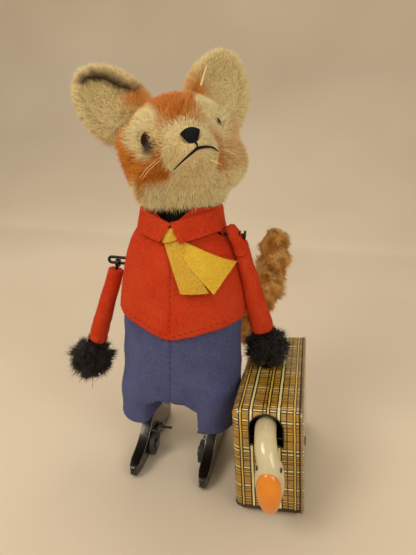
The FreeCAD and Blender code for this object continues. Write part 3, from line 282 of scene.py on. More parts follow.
def fur_material(name, gloss=0.25, rough=0.6, painted_glow=0.0):
    """Hair that takes its colour from each strand; given a glow strength, it is shaded with the normals of the
    cloth it stands on and gives off a painted glow in its own colour.
    """
    paint = Paint(name)
    shade = paint.noise(0.5, 2)
    tint = paint.attribute("tint")
    paint.set(Base_Color=paint.mix(paint.grey(shade, 0.0, 0.12), tint, (0.06, 0.03, 0.012)))
    paint.set(Roughness=rough, Specular_IOR_Level=gloss, Sheen_Weight=0.06, Sheen_Roughness=0.4)
    if painted_glow:
        turn = paint.nodes.new("ShaderNodeVectorTransform")
        turn.vector_type = "NORMAL"
        turn.convert_from, turn.convert_to = "OBJECT", "WORLD"
        paint.links.new(paint.attribute("lay", "Vector"), turn.inputs[0])
        paint.links.new(turn.outputs[0], paint.shader.inputs["Normal"])
        # painted glow: the hair emits light in its own tint, though it is no lamp
        paint.set(Emission_Color=tint, Emission_Strength=painted_glow)
    return paint.material


def metal(name, colour, rough=0.32, grain=(1, 1, 1), metallic=1.0, stain=None, coat=0.0):
    """Sheet metal, wire or brass, with brushing, smudges and fine scratches."""
    paint = Paint(name)
    brushed = paint.noise(3.0, 3, 0.5, grain)
    smudge = paint.noise(0.25, 4, 0.6)
    stain = stain or tuple(channel * 0.55 for channel in colour)
    tone = paint.mix(paint.grey(smudge, -0.2, 0.8), colour, stain)
    paint.set(Base_Color=tone, Metallic=metallic, Coat_Weight=coat, Coat_Roughness=0.12)
    paint.set(Roughness=paint.grey(brushed, rough - 0.08, rough + 0.14))
    paint.bump(paint.math("ADD", brushed, paint.math("MULTIPLY", smudge, 0.6)), 0.015)
    return paint.material


def lacquer(name, colour, worn, rough=0.16):
    """Glossy paint with faint clouds, wear and tiny chips."""
    paint = Paint(name)
    clouds = paint.noise(0.18, 4, 0.6)
    chips = paint.noise(1.6, 5, 0.7)
    tone = paint.mix(paint.grey(clouds, -0.25, 0.75), colour, worn)
    chip, _ = paint.ramp(chips, (0.0, (0, 0, 0)), (0.7, (0, 0, 0)), (0.74, (1, 1, 1)))
    dirt = tuple(channel * 0.45 for channel in colour)
    paint.set(Base_Color=paint.mix(paint.math("MULTIPLY", chip, 0.5), tone, dirt))
    paint.set(Roughness=paint.grey(clouds, rough, rough + 0.18), Coat_Weight=0.5)
    paint.set(Coat_Roughness=0.08)
    paint.bump(clouds, 0.03)
    return paint.material


OCHRE = srgb(190, 144, 46)
TAN = srgb(158, 114, 34)
LINE_CREAM = srgb(236, 222, 150)
LINE_YELLOW = srgb(222, 186, 62)
LINE_DARK = srgb(36, 22, 10)


def stripe_stops(lines, span):
    """Hard ramp stops for outlined lines; lines holds (middle, half width, outline, colour)."""
    stops = [(0.0, LINE_DARK, 0.0)]
    for middle, half, outline, colour in lines:
        stops.append(((middle - half - outline) / span, LINE_DARK, 1.0))
        if colour is not LINE_DARK:
            stops.append(((middle - half) / span, colour, 1.0))
            stops.append(((middle + half) / span, LINE_DARK, 1.0))
        stops.append(((middle + half + outline) / span, LINE_DARK, 0.0))
    return stops


def plaid():
    """Plaid printed on the tin: outlined cream and yellow lines on ochre, under varnish."""
    paint = Paint("printed_plaid", CASE)
    split = paint.nodes.new("ShaderNodeSeparateXYZ")
    paint.links.new(paint.where, split.inputs[0])
    x, y, z = split.outputs
    facing = paint.nodes.new("ShaderNodeSeparateXYZ")
    paint.links.new(paint.source.outputs["Normal"], facing.inputs[0])
    on_side = paint.math("GREATER_THAN", paint.math("ABSOLUTE", facing.outputs[0]), 0.72)
    on_top = paint.math("GREATER_THAN", paint.math("ABSOLUTE", facing.outputs[2]), 0.62)
    across = paint.mix(on_side, x, paint.math("MODULO", y, 21.0))
    wander = paint.grey(paint.noise(0.35, 2), -0.12, 0.12)

    def overlay(base, coordinate, span, lines):
        place = paint.math("DIVIDE", paint.math("ADD", coordinate, wander), span)
        colour, alpha = paint.ramp(place, *stripe_stops(lines, span), hard=True)
        return paint.mix(alpha, base, colour)

    clouds = paint.noise(0.5, 4, 0.6)
    dots = paint.noise(7.0, 2)
    ground, _ = paint.ramp(clouds, (0.25, TAN), (0.6, OCHRE), (0.85, srgb(196, 156, 78)))
    ground = paint.mix(paint.grey(dots, 0.0, 0.2), ground, TAN)
    for coordinate, period in ((across, 8.4), (z, 8.9), (y, 9.6)):
        wave = paint.math("FRACT", paint.math("DIVIDE", coordinate, period))
        band = paint.math("MULTIPLY", paint.math("LESS_THAN", wave, 0.38), 0.16)
        if coordinate is z:
            band = paint.math("MULTIPLY", band, paint.math("SUBTRACT", 1.0, on_top))
        if coordinate is y:
            band = paint.math("MULTIPLY", band, on_top)
        ground = paint.mix(band, ground, TAN)

    cream_rows = [(z0, 0.25, 0.34, LINE_CREAM) for z0 in (9.5, 16.0, 21.7, 23.0, 32.3)]
    yellow_rows = [(z0, 0.17, 0.34, LINE_YELLOW) for z0 in (3.7, 4.9, 14.6, 19.4, 28.8)]
    thin = (2.3, 7.2, 8.3, 12.9, 18.4, 20.4, 26.2, 30.6)
    thin_rows = [(z0, 0.06, 0.07, LINE_DARK) for z0 in thin]
    front = ground
    for rows in (thin_rows, yellow_rows, cream_rows):
        front = overlay(front, z, 36.0, rows)
    turn = paint.math("MODULO", paint.math("ADD", y, 8.0), 10.4)
    top = overlay(ground, turn, 10.4, [
        (0.6, 0.26, 0.24, LINE_CREAM), (2.6, 0.07, 0.09, LINE_DARK), (3.6, 0.07, 0.09, LINE_DARK),
        (5.2, 0.16, 0.26, LINE_YELLOW), (7.1, 0.07, 0.09, LINE_DARK), (9.2, 0.16, 0.26, LINE_CREAM),
    ])
    crossed = paint.mix(on_top, front, top)
    columns = [
        (2.7, 0.22, 0.42, LINE_YELLOW), (5.8, 0.3, 0.42, LINE_CREAM), (9.3, 0.07, 0.1, LINE_DARK),
        (10.8, 0.22, 0.42, LINE_YELLOW), (13.9, 0.3, 0.42, LINE_CREAM),
        (16.2, 0.07, 0.1, LINE_DARK),
    ]
    crossed = overlay(crossed, across, 21.0, columns)
    crossed = overlay(crossed, across, 21.0, [(18.4, 0.22, 0.32, LINE_YELLOW)])
    worn = paint.noise(0.9, 6, 0.72)
    scuff, _ = paint.ramp(worn, (0.0, (0, 0, 0)), (0.68, (0, 0, 0)), (0.72, (1, 1, 1)))
    colour = paint.mix(paint.math("MULTIPLY", scuff, 0.55), crossed, srgb(92, 70, 40))
    paint.set(Base_Color=colour, Metallic=0.1, Roughness=paint.grey(clouds, 0.2, 0.36))
    paint.set(Coat_Weight=0.7, Coat_Roughness=0.1)
    paint.bump(paint.math("ADD", clouds, worn), 0.03)
    return paint.material


FELT_RED = felt("red_felt", srgb(192, 44, 14), srgb(220, 84, 40), srgb(146, 26, 8))
FELT_BLUE = felt("blue_felt", srgb(66, 70, 108), srgb(102, 106, 142), srgb(40, 42, 74))
FELT_YELLOW = felt("yellow_felt", srgb(226, 178, 36), srgb(240, 206, 84), srgb(184, 134, 16))
FELT_GOLD = felt("gold_felt", srgb(212, 162, 40), srgb(230, 192, 86), srgb(172, 122, 20))
BLACK_SHADE_FELT = felt("black_shade_felt", srgb(34, 26, 24), srgb(60, 48, 44), srgb(16, 12, 12))
# the pile gives off a painted glow of strength 0.2
FUR = fur_material("plush_pile", painted_glow=0.2)
LINT = fur_material("felt_lint")
WIRY = fur_material("wiry_fur", gloss=0.5, rough=0.42)
SKIN = fur_material("plush_cloth", gloss=0.1, rough=0.9)
TIN = metal("tinplate", srgb(178, 174, 166), 0.34, (1, 1, 4))
STEEL = metal("steel", srgb(118, 116, 112), 0.26, (1, 1, 8))
DARK_WIRE = metal("dark_wire", srgb(52, 46, 40), 0.36, (1, 1, 6))
BLUED = metal("blued_steel", srgb(64, 70, 92), 0.22, (4, 1, 1))
BRASS = metal("brass", srgb(196, 160, 84), 0.24, (5, 1, 5))
SHOE = metal("bronzed_tin", srgb(38, 29, 24), 0.24, (1, 5, 1), 0.5, srgb(20, 15, 12), 0.5)
# bright metal for the case cover's bead, and for the painted highlight lines on the shoes' edges
RIM_AND_HIGHLIGHT = metal("bright_rim_and_highlight", srgb(176, 158, 122), 0.3, (1, 4, 1), 0.8)
RUBBER = metal("roller_rubber", srgb(58, 55, 52), 0.6, (1, 1, 1), 0.0)
LEAD = metal("lead", srgb(96, 98, 102), 0.6)
BASE_TIN = metal("dark_base", srgb(62, 50, 34), 0.4, (5, 1, 1), 0.5)
IVORY = lacquer("ivory_paint", srgb(216, 200, 154), srgb(186, 172, 128))
ORANGE = lacquer("orange_paint", srgb(238, 142, 0), srgb(212, 106, 0))
EYE = felt("dark_eye", srgb(22, 11, 6), srgb(62, 32, 14), srgb(9, 5, 3))
BLACK_GLOSS = lacquer("black_gloss", srgb(22, 18, 16), srgb(34, 26, 22), 0.05)
THREAD = felt("black_thread", srgb(15, 13, 15), srgb(34, 34, 38), srgb(8, 7, 8))
PLAID = plaid()

RED_LINT = srgb(200, 60, 26)
BLUE_LINT = srgb(96, 102, 150)
YELLOW_LINT = srgb(222, 184, 80)
RED_SEAM = srgb(120, 26, 12)
RED_HEM = srgb(140, 34, 14)
BLUE_SEAM = srgb(44, 46, 84)


# ---- meshes ------------------------------------------------------------------------------


def register(name, mesh, material, body, replaces=(), crisp=False):
    """Make an object of the mesh that rides on a body; crisp keeps its folded edges sharp."""
    piece = link(name, mesh)
    dress(mesh, material)
    mesh.polygons.foreach_set("use_smooth", np.ones(len(mesh.polygons), bool))
    if crisp:
        mesh.set_sharp_from_angle(angle=math.radians(50))
    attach(piece, body)
    if replaces:
        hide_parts(*replaces)
    return piece


def make_mesh(name, points, *face_sets):
    """A mesh from points in millimetres and arrays of equal-sided faces."""
    mesh = bpy.data.meshes.new(name)
    points = np.asarray(points, np.float32) * MM
    mesh.vertices.add(len(points))
    mesh.vertices.foreach_set("co", points.ravel())
    corners = np.concatenate([faces.ravel() for faces in face_sets]).astype(np.int32)
    sizes = np.concatenate([np.full(len(faces), faces.shape[1]) for faces in face_sets])
    mesh.loops.add(len(corners))
    mesh.loops.foreach_set("vertex_index", corners)
    mesh.polygons.add(len(sizes))
    starts = np.concatenate([[0], np.cumsum(sizes)[:-1]]).astype(np.int32)
    mesh.polygons.foreach_set("loop_start", starts)
    mesh.polygons.foreach_set("loop_total", sizes.astype(np.int32))
    mesh.update(calc_edges=True)
    mesh.validate()
    return mesh


def arrays(mesh):
    """A mesh's points in millimetres, its triangles and its point normals."""
    points = np.zeros(len(mesh.vertices) * 3, np.float32)
    mesh.vertices.foreach_get("co", points)
    points = points.reshape(-1, 3).astype(float) / MM
    mesh.calc_loop_triangles()
    triangles = np.zeros(len(mesh.loop_triangles) * 3, np.int32)
    mesh.loop_triangles.foreach_get("vertices", triangles)
    triangles = triangles.reshape(-1, 3)
    a, b, c = (points[triangles[:, i]] for i in range(3))
    facing = np.cross(b - a, c - a)
    normals = np.zeros_like(points)
    for i in range(3):
        np.add.at(normals, triangles[:, i], facing)
    return points, triangles, unit(normals)


def remeshed(node, voxel, rounds):
    """A fine even mesh over a CAD node's solid, smoothed."""
    source = link(node + "_source", NODES[node].data.copy())
    skin = source.modifiers.new("skin", "REMESH")
    skin.mode = "VOXEL"
    skin.voxel_size = voxel * MM
    ease = source.modifiers.new("ease", "SMOOTH")
    ease.factor = 0.5
    ease.iterations = rounds
    graph = bpy.context.evaluated_depsgraph_get()
    mesh = bpy.data.meshes.new_from_object(source.evaluated_get(graph))
    bpy.data.objects.remove(source)
    mesh.name = node + "_mesh"
    return mesh


def relax(mesh, rounds, weigh):
    """Soften a mesh more where weigh(points) is near one and not at all where it is zero."""
    points, _, _ = arrays(mesh)
    ends = np.empty(len(mesh.edges) * 2, np.int32)
    mesh.edges.foreach_get("vertices", ends)
    ends = ends.reshape(-1, 2)
    count = len(points)
    many = np.bincount(ends.ravel(), minlength=count)[:, None]
    weight = weigh(points)[:, None]
    start = points.copy()
    for _ in range(rounds):
        total = np.stack([
            np.bincount(ends[:, 0], points[ends[:, 1], axis], count)
            + np.bincount(ends[:, 1], points[ends[:, 0], axis], count) for axis in range(3)
        ], 1)
        points = points + (total / many - points) * 0.6 * weight
    shift_points(mesh, lambda p, n: p + (points - start))


def shift_points(mesh, change):
    """Move a mesh's points: change takes (points, normals) and returns new points."""
    points, _, normals = arrays(mesh)
    moved = np.asarray(change(points, normals), np.float32) * MM
    mesh.vertices.foreach_set("co", moved.ravel())
    mesh.update()


def paint_points(mesh, colours):
    """Store a colour on each point for the fur and cloth materials."""
    layer = mesh.color_attributes.new("tint", "FLOAT_COLOR", "POINT")
    rgba = np.ones((len(mesh.vertices), 4), np.float32)
    rgba[:, :3] = colours
    layer.data.foreach_set("color", rgba.ravel())


def paint_evenly(mesh, colour):
    """Store one colour on every point."""
    paint_points(mesh, np.tile(colour, (len(mesh.vertices), 1)))


def waves(points, seed, size):
    """A smooth random height near -1 to 1 over space; size is the wave length."""
    maker = np.random.default_rng(seed)
    total = np.zeros(len(points))
    for _ in range(10):
        way = unit(maker.normal(size=3)) * 2 * math.pi / (size * maker.uniform(0.7, 1.6))
        total += np.sin(points @ way + maker.uniform(0, 6.3))
    return total / 4


def clumps(points, first_seed, size):
    """A smooth random lean at each point, for hairs that stick together."""
    return np.stack([waves(points, first_seed + i, size) for i in range(3)], 1)


def scatter(mesh, count):
    """Random places on a mesh: (points, normals)."""
    points, triangles, normals = arrays(mesh)
    a, b, c = (points[triangles[:, i]] for i in range(3))
    area = np.linalg.norm(np.cross(b - a, c - a), axis=1)
    chosen = rng.choice(len(triangles), int(count * FUR_SHARE), p=area / area.sum())
    share = rng.random((len(chosen), 2))
    flip = share.sum(1) > 1
    share[flip] = 1 - share[flip]
    weights = np.stack([1 - share.sum(1), share[:, 0], share[:, 1]], 1)
    corner = triangles[chosen]
    return (
        np.einsum("ij,ijk->ik", weights, points[corner]),
        unit(np.einsum("ij,ijk->ik", weights, normals[corner])),
    )


HAIR_POINTS = 7
# shares of a hair's colour: painted shade at its root, painted light at its tip, and a cap on the tip
ROOT_PAINTED_SHADE, TIP_PAINTED_LIGHT, BRIGHTEST = 0.7, 1.25, 0.95


def strands(name, roots, ways, lengths, widths, colours, droop, lay=None):
    """Tapered three-sided hairs as one mesh; droop bends each hair's upper part."""
    count = len(roots)
    lengths, widths = lengths[:, None], widths[:, None]
    knees = roots + ways * lengths * 0.5
    upper = unit(ways + droop)
    ends = knees + upper * lengths * 0.5
    side = unit(np.cross(ways, unit(rng.normal(size=(count, 3)))))
    other = np.cross(ways, side)
    rings = []
    for level, share in ((roots - ways * 0.3, 1.0), (knees, 0.8)):
        for step in range(3):
            angle = step * 2 * math.pi / 3
            around = side * math.cos(angle) + other * math.sin(angle)
            rings.append(level + around * widths * share)
    points = np.stack([*rings, ends], 1).reshape(-1, 3)
    base = np.arange(count)[:, None] * HAIR_POINTS
    turns = [(i, (i + 1) % 3) for i in range(3)]
    quads = np.concatenate([base + np.array([[i, j, j + 3, i + 3]]) for i, j in turns])
    caps = np.concatenate([base + np.array([[i + 3, j + 3, 6]]) for i, j in turns])
    mesh = make_mesh(name, points, quads, caps)
    shade = np.repeat(colours[:, None, :], HAIR_POINTS, 1)
    # painted shade at the roots, where the hairs shade each other, and painted light at the tips
    shade[:, :3] *= ROOT_PAINTED_SHADE
    shade[:, 6] = np.minimum(shade[:, 6] * TIP_PAINTED_LIGHT, BRIGHTEST)
    paint_points(mesh, shade.reshape(-1, 3))
    lean = ways if lay is None else unit(lay + 0.35 * ways)
    layer = mesh.attributes.new("lay", "FLOAT_VECTOR", "POINT")
    layer.data.foreach_set("vector", np.repeat(lean, HAIR_POINTS, 0).astype(np.float32).ravel())
    return mesh


def ring_quads(rings, sides, closed=False):
    """Faces between rings of points that follow each other in one list."""
    return np.array([
        (i * sides + k, i * sides + (k + 1) % sides,
         (i + 1) % rings * sides + (k + 1) % sides, (i + 1) % rings * sides + k)
        for i in range(rings if closed else rings - 1) for k in range(sides)
    ])


def capped(name, points, ends, rings, sides):
    """A mesh of open rings with a fan of triangles to a point at each end."""
    points = np.concatenate([points, ends])
    first, last = len(points) - 2, (rings - 1) * sides
    caps = [(first, (k + 1) % sides, k) for k in range(sides)]
    caps += [(first + 1, last + k, last + (k + 1) % sides) for k in range(sides)]
    return make_mesh(name, points, ring_quads(rings, sides), np.array(caps))


def tube(name, path, radius, sides=10, closed=False, taper=None):
    """A round tube along points; taper gives each point's share of the radius."""
    path = np.asarray(path, float)
    count = len(path)
    ahead = np.roll(path, -1, 0) - np.roll(path, 1, 0)
    if not closed:
        ahead[0], ahead[-1] = path[1] - path[0], path[-1] - path[-2]
    ahead = unit(ahead)
    side = unit(np.cross(ahead, (0.31, 0.45, 0.84)))
    for i in range(1, count):
        side[i] = unit(side[i - 1] - (side[i - 1] @ ahead[i]) * ahead[i])
    other = np.cross(ahead, side)
    angles = np.linspace(0, 2 * math.pi, sides, endpoint=False)
    share = np.ones(count) if taper is None else np.asarray(taper, float)
    cosine, sine = np.cos(angles)[None, :, None], np.sin(angles)[None, :, None]
    ring = side[:, None] * cosine + other[:, None] * sine
    points = (path[:, None] + ring * (radius * share)[:, None, None]).reshape(-1, 3)
    if closed:
        return make_mesh(name, points, ring_quads(count, sides, closed=True))
    return capped(name, points, path[[0, -1]], count, sides)


def curve_through(points, steps=12):
    """A smooth line through the points."""
    points = np.asarray(points, float)
    before, after = 2 * points[:1] - points[1:2], 2 * points[-1:] - points[-2:-1]
    padded = np.concatenate([before, points, after])
    result = []
    for i in range(1, len(padded) - 2):
        a, b, c, d = padded[i - 1 : i + 3]
        for t in np.linspace(0, 1, steps, endpoint=False):
            result.append(0.5 * (2 * b + (c - a) * t + (2 * a - 5 * b + 4 * c - d) * t * t
                                 + (3 * b - a - 3 * c + d) * t ** 3))
    result.append(points[-1])
    return np.array(result)


def joined(name, meshes):
    """Several meshes as one."""
    work = bmesh.new()
    for mesh in meshes:
        work.from_mesh(mesh)
    result = bpy.data.meshes.new(name)
    work.to_mesh(result)
    work.free()
    return result


def tree_of(mesh):
    """A search tree in millimetres over a mesh."""
    points, triangles, _ = arrays(mesh)
    return BVHTree.FromPolygons(points.tolist(), triangles.tolist())


def drop_on(tree, start, way):
    """Where a ray meets a surface, and the normal there."""
    place, normal, _, _ = tree.ray_cast(Vector(start), Vector(way))
    if place is None:
        place, normal, _, _ = tree.find_nearest(Vector(start))
    return np.array(place), np.array(normal)


# ---- felt clothes ------------------------------------------------------------------------


def seam_groove(across, width, depth):
    """How far a sewn line pulls the felt in."""
    return -depth * np.exp(-((across / width) ** 2))


def faces_out(local, normals):
    """True on the outer side of cloth round the figure."""
    return np.einsum("ij,ij->i", normals[:, :2], unit(local[:, :2])) > 0


def lint(name, mesh, body, count, colour, slot):
    """Short loose fibres that stand out of felt."""
    roots, normals = scatter(mesh, count)
    ways = unit(normals + rng.normal(size=normals.shape) * 0.8)
    lengths = rng.uniform(0.25, 0.8, len(roots))
    tints = np.array(colour) * rng.uniform(0.7, 1.35, (len(roots), 1))
    droop = rng.normal(size=roots.shape) * 0.8
    hairs = strands(name, roots, ways, lengths, np.full(len(roots), 0.022), tints, droop)
    register(name, hairs, LINT, body)


def make_jacket():
    """The felt jacket with its centre seam, side seams and cut hem."""
    mesh = remeshed("jacket", 0.42, 5)

    def tailor(points, normals):
        local = FIGURE.into(points)
        outward = faces_out(local, normals)
        height = waves(local, 3, 13) * 0.16 + waves(local, 4, 5) * 0.05
        front = (local[:, 1] < 0) & outward
        height = height + np.where(front, seam_groove(local[:, 0] + 0.1, 0.45, 0.42), 0)
        for side in (-1, 1):
            near = (local[:, 0] * side > 0) & outward
            height = height + np.where(near, seam_groove(local[:, 1] - 2, 0.4, 0.3), 0)
        folds = np.exp(-((local[:, 2] - 57) / 6) ** 2)
        height = height + folds * 0.12 * np.sin(np.arctan2(local[:, 1], local[:, 0]) * 9)
        return points + normals * height[:, None]

    shift_points(mesh, tailor)
    register("jacket_felt", mesh, FELT_RED, "figure", ["jacket"])
    lint("jacket_lint", mesh, "figure", 9000, RED_LINT, "red_felt")
    tree = tree_of(mesh)
    sewn("jacket_front_stitches", tree, [(-0.1, z) for z in np.arange(53.5, 82, 1.9)],
         RED_SEAM)
    for side in (-1, 1):
        hem = [(side * x, 52.0 + 0.34 * x) for x in np.arange(1.4, 17, 1.8)]
        sewn("jacket_hem_stitches", tree, hem, RED_HEM, (0.95, 0.3 * side))


def sewn(name, tree, marks, colour, along=(0, 1)):
    """A row of short stitches on the front; marks and along hold (x, z) on the figure."""
    stitches = []
    for x, z in marks:
        spots = []
        for step in (-0.55, 0, 0.55):
            start = FIGURE.out((x + step * along[0], -40, z + step * along[1]))
            spot, normal = drop_on(tree, start, (0, 1, 0))
            spots.append(spot + normal * (0.1 if step == 0 else -0.08))
        stitches.append(tube(name, curve_through(spots, 3), 0.09, 6))
    mesh = joined(name, stitches)
    paint_evenly(mesh, colour)
    register(name, mesh, LINT, "figure")


def on_body(x, z, lift):
    """The place on the front of the dressed body at x and z, raised by a lift."""
    levels = (57, 66, 74, 80, 84.5, 91.5)
    wide = np.interp(z, levels, (21.3, 20.3, 18.8, 16.8, 14.4, 12.6)) + lift
    deep = np.interp(z, levels, (14.7, 14.2, 13.4, 12.4, 11.5, 10.9)) + lift
    return np.stack([x, -deep * np.sqrt(np.clip(1 - (x / wide) ** 2, 0.02, 1)), z], -1)


def felt_patch(name, corners, lift, thick, material, steps=30):
    """A cut piece of felt laid on the body; corners run round it as (x, z) from its top left."""
    u, v = np.meshgrid(np.linspace(0, 1, steps), np.linspace(0, 1, steps))
    a, b, c, d = (np.array(corner, float) for corner in corners)
    flat = ((1 - u)[..., None] * (1 - v)[..., None] * a + u[..., None] * (1 - v)[..., None] * b
            + u[..., None] * v[..., None] * c + (1 - u)[..., None] * v[..., None] * d)
    places = np.dstack([flat, flat[..., :1] * 0]).reshape(-1, 3)
    ripple = waves(places, len(name), 6).reshape(u.shape)
    low = lift(u, v) + ripple * 0.1
    sheets = [on_body(flat[..., 0], flat[..., 1], low + extra) for extra in (0, thick)]
    points = FIGURE.out(np.concatenate([sheet.reshape(-1, 3) for sheet in sheets]))
    grid = np.arange(steps * steps).reshape(steps, steps)
    under = np.stack([grid[:-1, :-1], grid[:-1, 1:], grid[1:, 1:], grid[1:, :-1]], -1)
    under = under.reshape(-1, 4)
    over = under[:, ::-1] + steps * steps
    edge = np.concatenate([grid[0], grid[1:, -1], grid[-1, -2::-1], grid[-2:0:-1, 0]])
    after = np.roll(edge, -1)
    wall = np.stack([edge, edge + steps * steps, after + steps * steps, after], -1)
    mesh = make_mesh(name, points, under, over, wall)
    return register(name, mesh, material, "figure", crisp=True)


def make_trousers():
    """The felt trousers with centre seams, an arch between the legs and turned cuffs."""
    mesh = remeshed("trousers", 0.45, 24)

    def tailor(points, normals):
        local = FIGURE.into(points)
        across = np.abs(local[:, 0])
        outward = faces_out(local, normals)
        height = waves(local, 11, 16) * 0.22 + waves(local, 12, 6) * 0.07
        height = height + np.where(outward, seam_groove(local[:, 0] + 0.1, 0.45, 0.45), 0)
        crease = across - 4.0 - (local[:, 2] - 28) * 0.75
        zone = smooth(37 - local[:, 2], 0, 6) * smooth(local[:, 2], 26, 30)
        height = height - 0.15 * zone * np.exp(-((crease / 1.6) ** 2)) * (local[:, 1] < 0)
        height = height + 0.18 * np.exp(-((local[:, 2] - 18.6) / 0.5) ** 2) * outward
        height = height + 0.5 * np.exp(-((local[:, 2] - 27) / 7) ** 2) * outward
        moved = points + normals * height[:, None]
        aside = 2.4 * smooth(10 - across, 0, 5) * smooth(27.5 - local[:, 2], 0, 4)
        moved[:, 0] += np.sign(local[:, 0]) * aside * smooth(across, 0.5, 3)
        moved[:, 2] += 1.9 * smooth(7.5 - across, 0, 4.5) * smooth(31 - local[:, 2], 0, 4)
        return moved

    relax(mesh, 90, lambda p: smooth(p[:, 2], 24, 28) * smooth(40 - p[:, 2], 0, 5))
    shift_points(mesh, tailor)
    register("trousers_felt", mesh, FELT_BLUE, "figure", ["trousers"])
    lint("trousers_lint", mesh, "figure", 9000, BLUE_LINT, "blue_felt")
    sewn("trousers_front_stitches", tree_of(mesh), [(-0.1, z) for z in np.arange(31, 51, 1.9)],
         BLUE_SEAM)


def make_collar():
    """The stand-up collar and a black felt sheet inside it, painted shade under the chin."""
    mesh = remeshed("collar", 0.32, 5)
    shift_points(mesh, lambda p, n: p + n * (waves(p, 21, 9) * 0.16)[:, None])
    register("collar_felt", mesh, FELT_RED, "figure", ["collar"])
    lint("collar_lint", mesh, "figure", 2500, RED_LINT, "red_felt")
    low, high = box_of("collar")
    half, sides = (high - low) / 2, 96
    angles = np.linspace(0, 2 * math.pi, sides, endpoint=False)
    wobble = 1 + 0.02 * np.sin(angles * 9)
    levels = ((84.8, 0.62), (87, 0.66), (89.5, 0.68), (91.2, 0.66), (91.6, 0.6), (91.2, 0.5))
    rings = [
        FIGURE.out(np.stack([np.cos(angles) * half[0] * share * wobble,
                             np.sin(angles) * half[1] * share * wobble, np.full(sides, z)], 1))
        for z, share in levels
    ]
    # painted shade: a dark felt sheet inside the collar, where the chin shades the neck
    mesh = make_mesh("neck_shade_sheet", np.concatenate(rings), ring_quads(len(rings), sides))
    cloth = register("neck_shade_sheet", mesh, BLACK_SHADE_FELT, "figure")
    cloth.modifiers.new("thick", "SOLIDIFY").thickness = 0.6 * MM


def make_tie():
    """The yellow necktie: two cut strips below a folded knot."""
    def under(u, v):
        return 0.35 + 1.0 * v + 0.9 * u * v + 0.5 * u

    def over(u, v):
        return 1.3 + 0.5 * v + 0.5 * np.sin(u * 2.6) * v - 0.8 * (1 - v)

    def knot(u, v):
        return 0.5 + 1.3 * np.sin(math.pi * u) * (0.3 + 0.7 * v) + 0.2 * np.sin(u * 9 + v * 5)

    strip = ((1.0, 83.2), (18.3, 75.2), (13.4, 67.2), (4.6, 76.4))
    piece = felt_patch("necktie_under", strip, under, 0.8, FELT_YELLOW)
    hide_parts("necktie")
    strip = ((-2.5, 82.3), (2.6, 82.7), (11.8, 67.4), (3.8, 67.0))
    lower = felt_patch("necktie_over", strip, over, 0.8, FELT_GOLD)
    folded = ((-3.4, 84.4), (0.9, 86.2), (2.2, 82.6), (-2.8, 81.2))
    felt_patch("necktie_knot", folded, knot, 0.8, FELT_GOLD)
    for label, strip_piece in (("under", piece), ("over", lower)):
        lint(f"necktie_lint_{label}", strip_piece.data, "figure", 1300, YELLOW_LINT, "yellow_felt")


def make_lapels():
    """The two felt ends of the collar that lap over the necktie's knot."""
    def left(u, v):
        return 0.5 + 0.9 * smooth(u, 0.45, 0.95) + 0.3 * v

    def right(u, v):
        return 0.45 + 0.9 * (1 - smooth(u, 0.05, 0.5)) + 0.35 * v

    ends = (
        ("left_end", left, ((-11.6, 90.6), (-0.2, 87.0), (-3.3, 81.7), (-12.4, 83.4))),
        ("right_end", right, ((-0.4, 87.3), (11.9, 90.8), (13.6, 85.0), (2.8, 81.6))),
    )
    for label, lift, corners in ends:
        piece = felt_patch(f"collar_{label}", corners, lift, 0.9, FELT_RED)
        lint(f"collar_{label}_lint", piece.data, "figure", 1300, RED_LINT, "red_felt")


def make_sleeve(side, body):
    """A felt sleeve with wrinkles, a ridge near the cuff and a flare towards it; the left one also gets a fold at
    its top.
    """
    node = f"{side}_sleeve"
    mesh = remeshed(node, 0.26, 5)
    bottom, top = (corner[2] for corner in box_of(node))

    def tailor(points, normals):
        share = (top - points[:, 2]) / (top - bottom)
        height = waves(points, 41, 5) * 0.12
        height = height + 0.1 * np.sin(points[:, 2] * 1.3) * smooth(share, 0.5, 1)
        height = height + 0.14 * np.exp(-((share - 0.95) / 0.02) ** 2)
        flare = 0.2 + 0.5 * smooth(share, 0.1, 0.9) * (1.6 if side == "left" else 1.0)
        return points + normals * (height + flare)[:, None]

    shift_points(mesh, tailor)
    register(f"{side}_sleeve_felt", mesh, FELT_RED, body, [node])
    lint(f"{side}_sleeve_lint", mesh, body, 2500, RED_LINT, "red_felt")
    if side == "left":
        line = curve_through(FIGURE.out([
            (15.2, -4.3, 86.0), (16.3, -4.6, 84.8), (17.6, -4.9, 82.8), (18.9, -4.6, 80.4),
            (19.6, -3.9, 77.6),
        ]), 8)
        fold = tube("left_sleeve_fold", line, 2.0, 20, taper=np.interp(
            np.linspace(0, 1, len(line)), (0, 0.12, 0.4, 1), (0.35, 0.8, 0.95, 1.1)))
        shift_points(fold, lambda p, n: p + n * (waves(p, 47, 4) * 0.14)[:, None])
        register("left_sleeve_fold", fold, FELT_RED, body)
        lint("left_sleeve_fold_lint", fold, body, 500, RED_LINT, "red_felt")


# ---- plush -------------------------------------------------------------------------------

FUR_ORANGE = np.array(srgb(222, 132, 36))
FUR_RUST = np.array(srgb(190, 96, 16))
FUR_CREAM = np.array(srgb(252, 222, 158))
FUR_BEIGE = np.array(srgb(236, 196, 124))
FUR_EAR = np.array(srgb(236, 204, 138))
FUR_BROWN = np.array(srgb(70, 44, 24))


def reach(local, middle, radii):
    """How far places lie from a middle, as a share of an egg's radii."""
    return np.linalg.norm((local - np.array(middle)) / np.array(radii), axis=1)


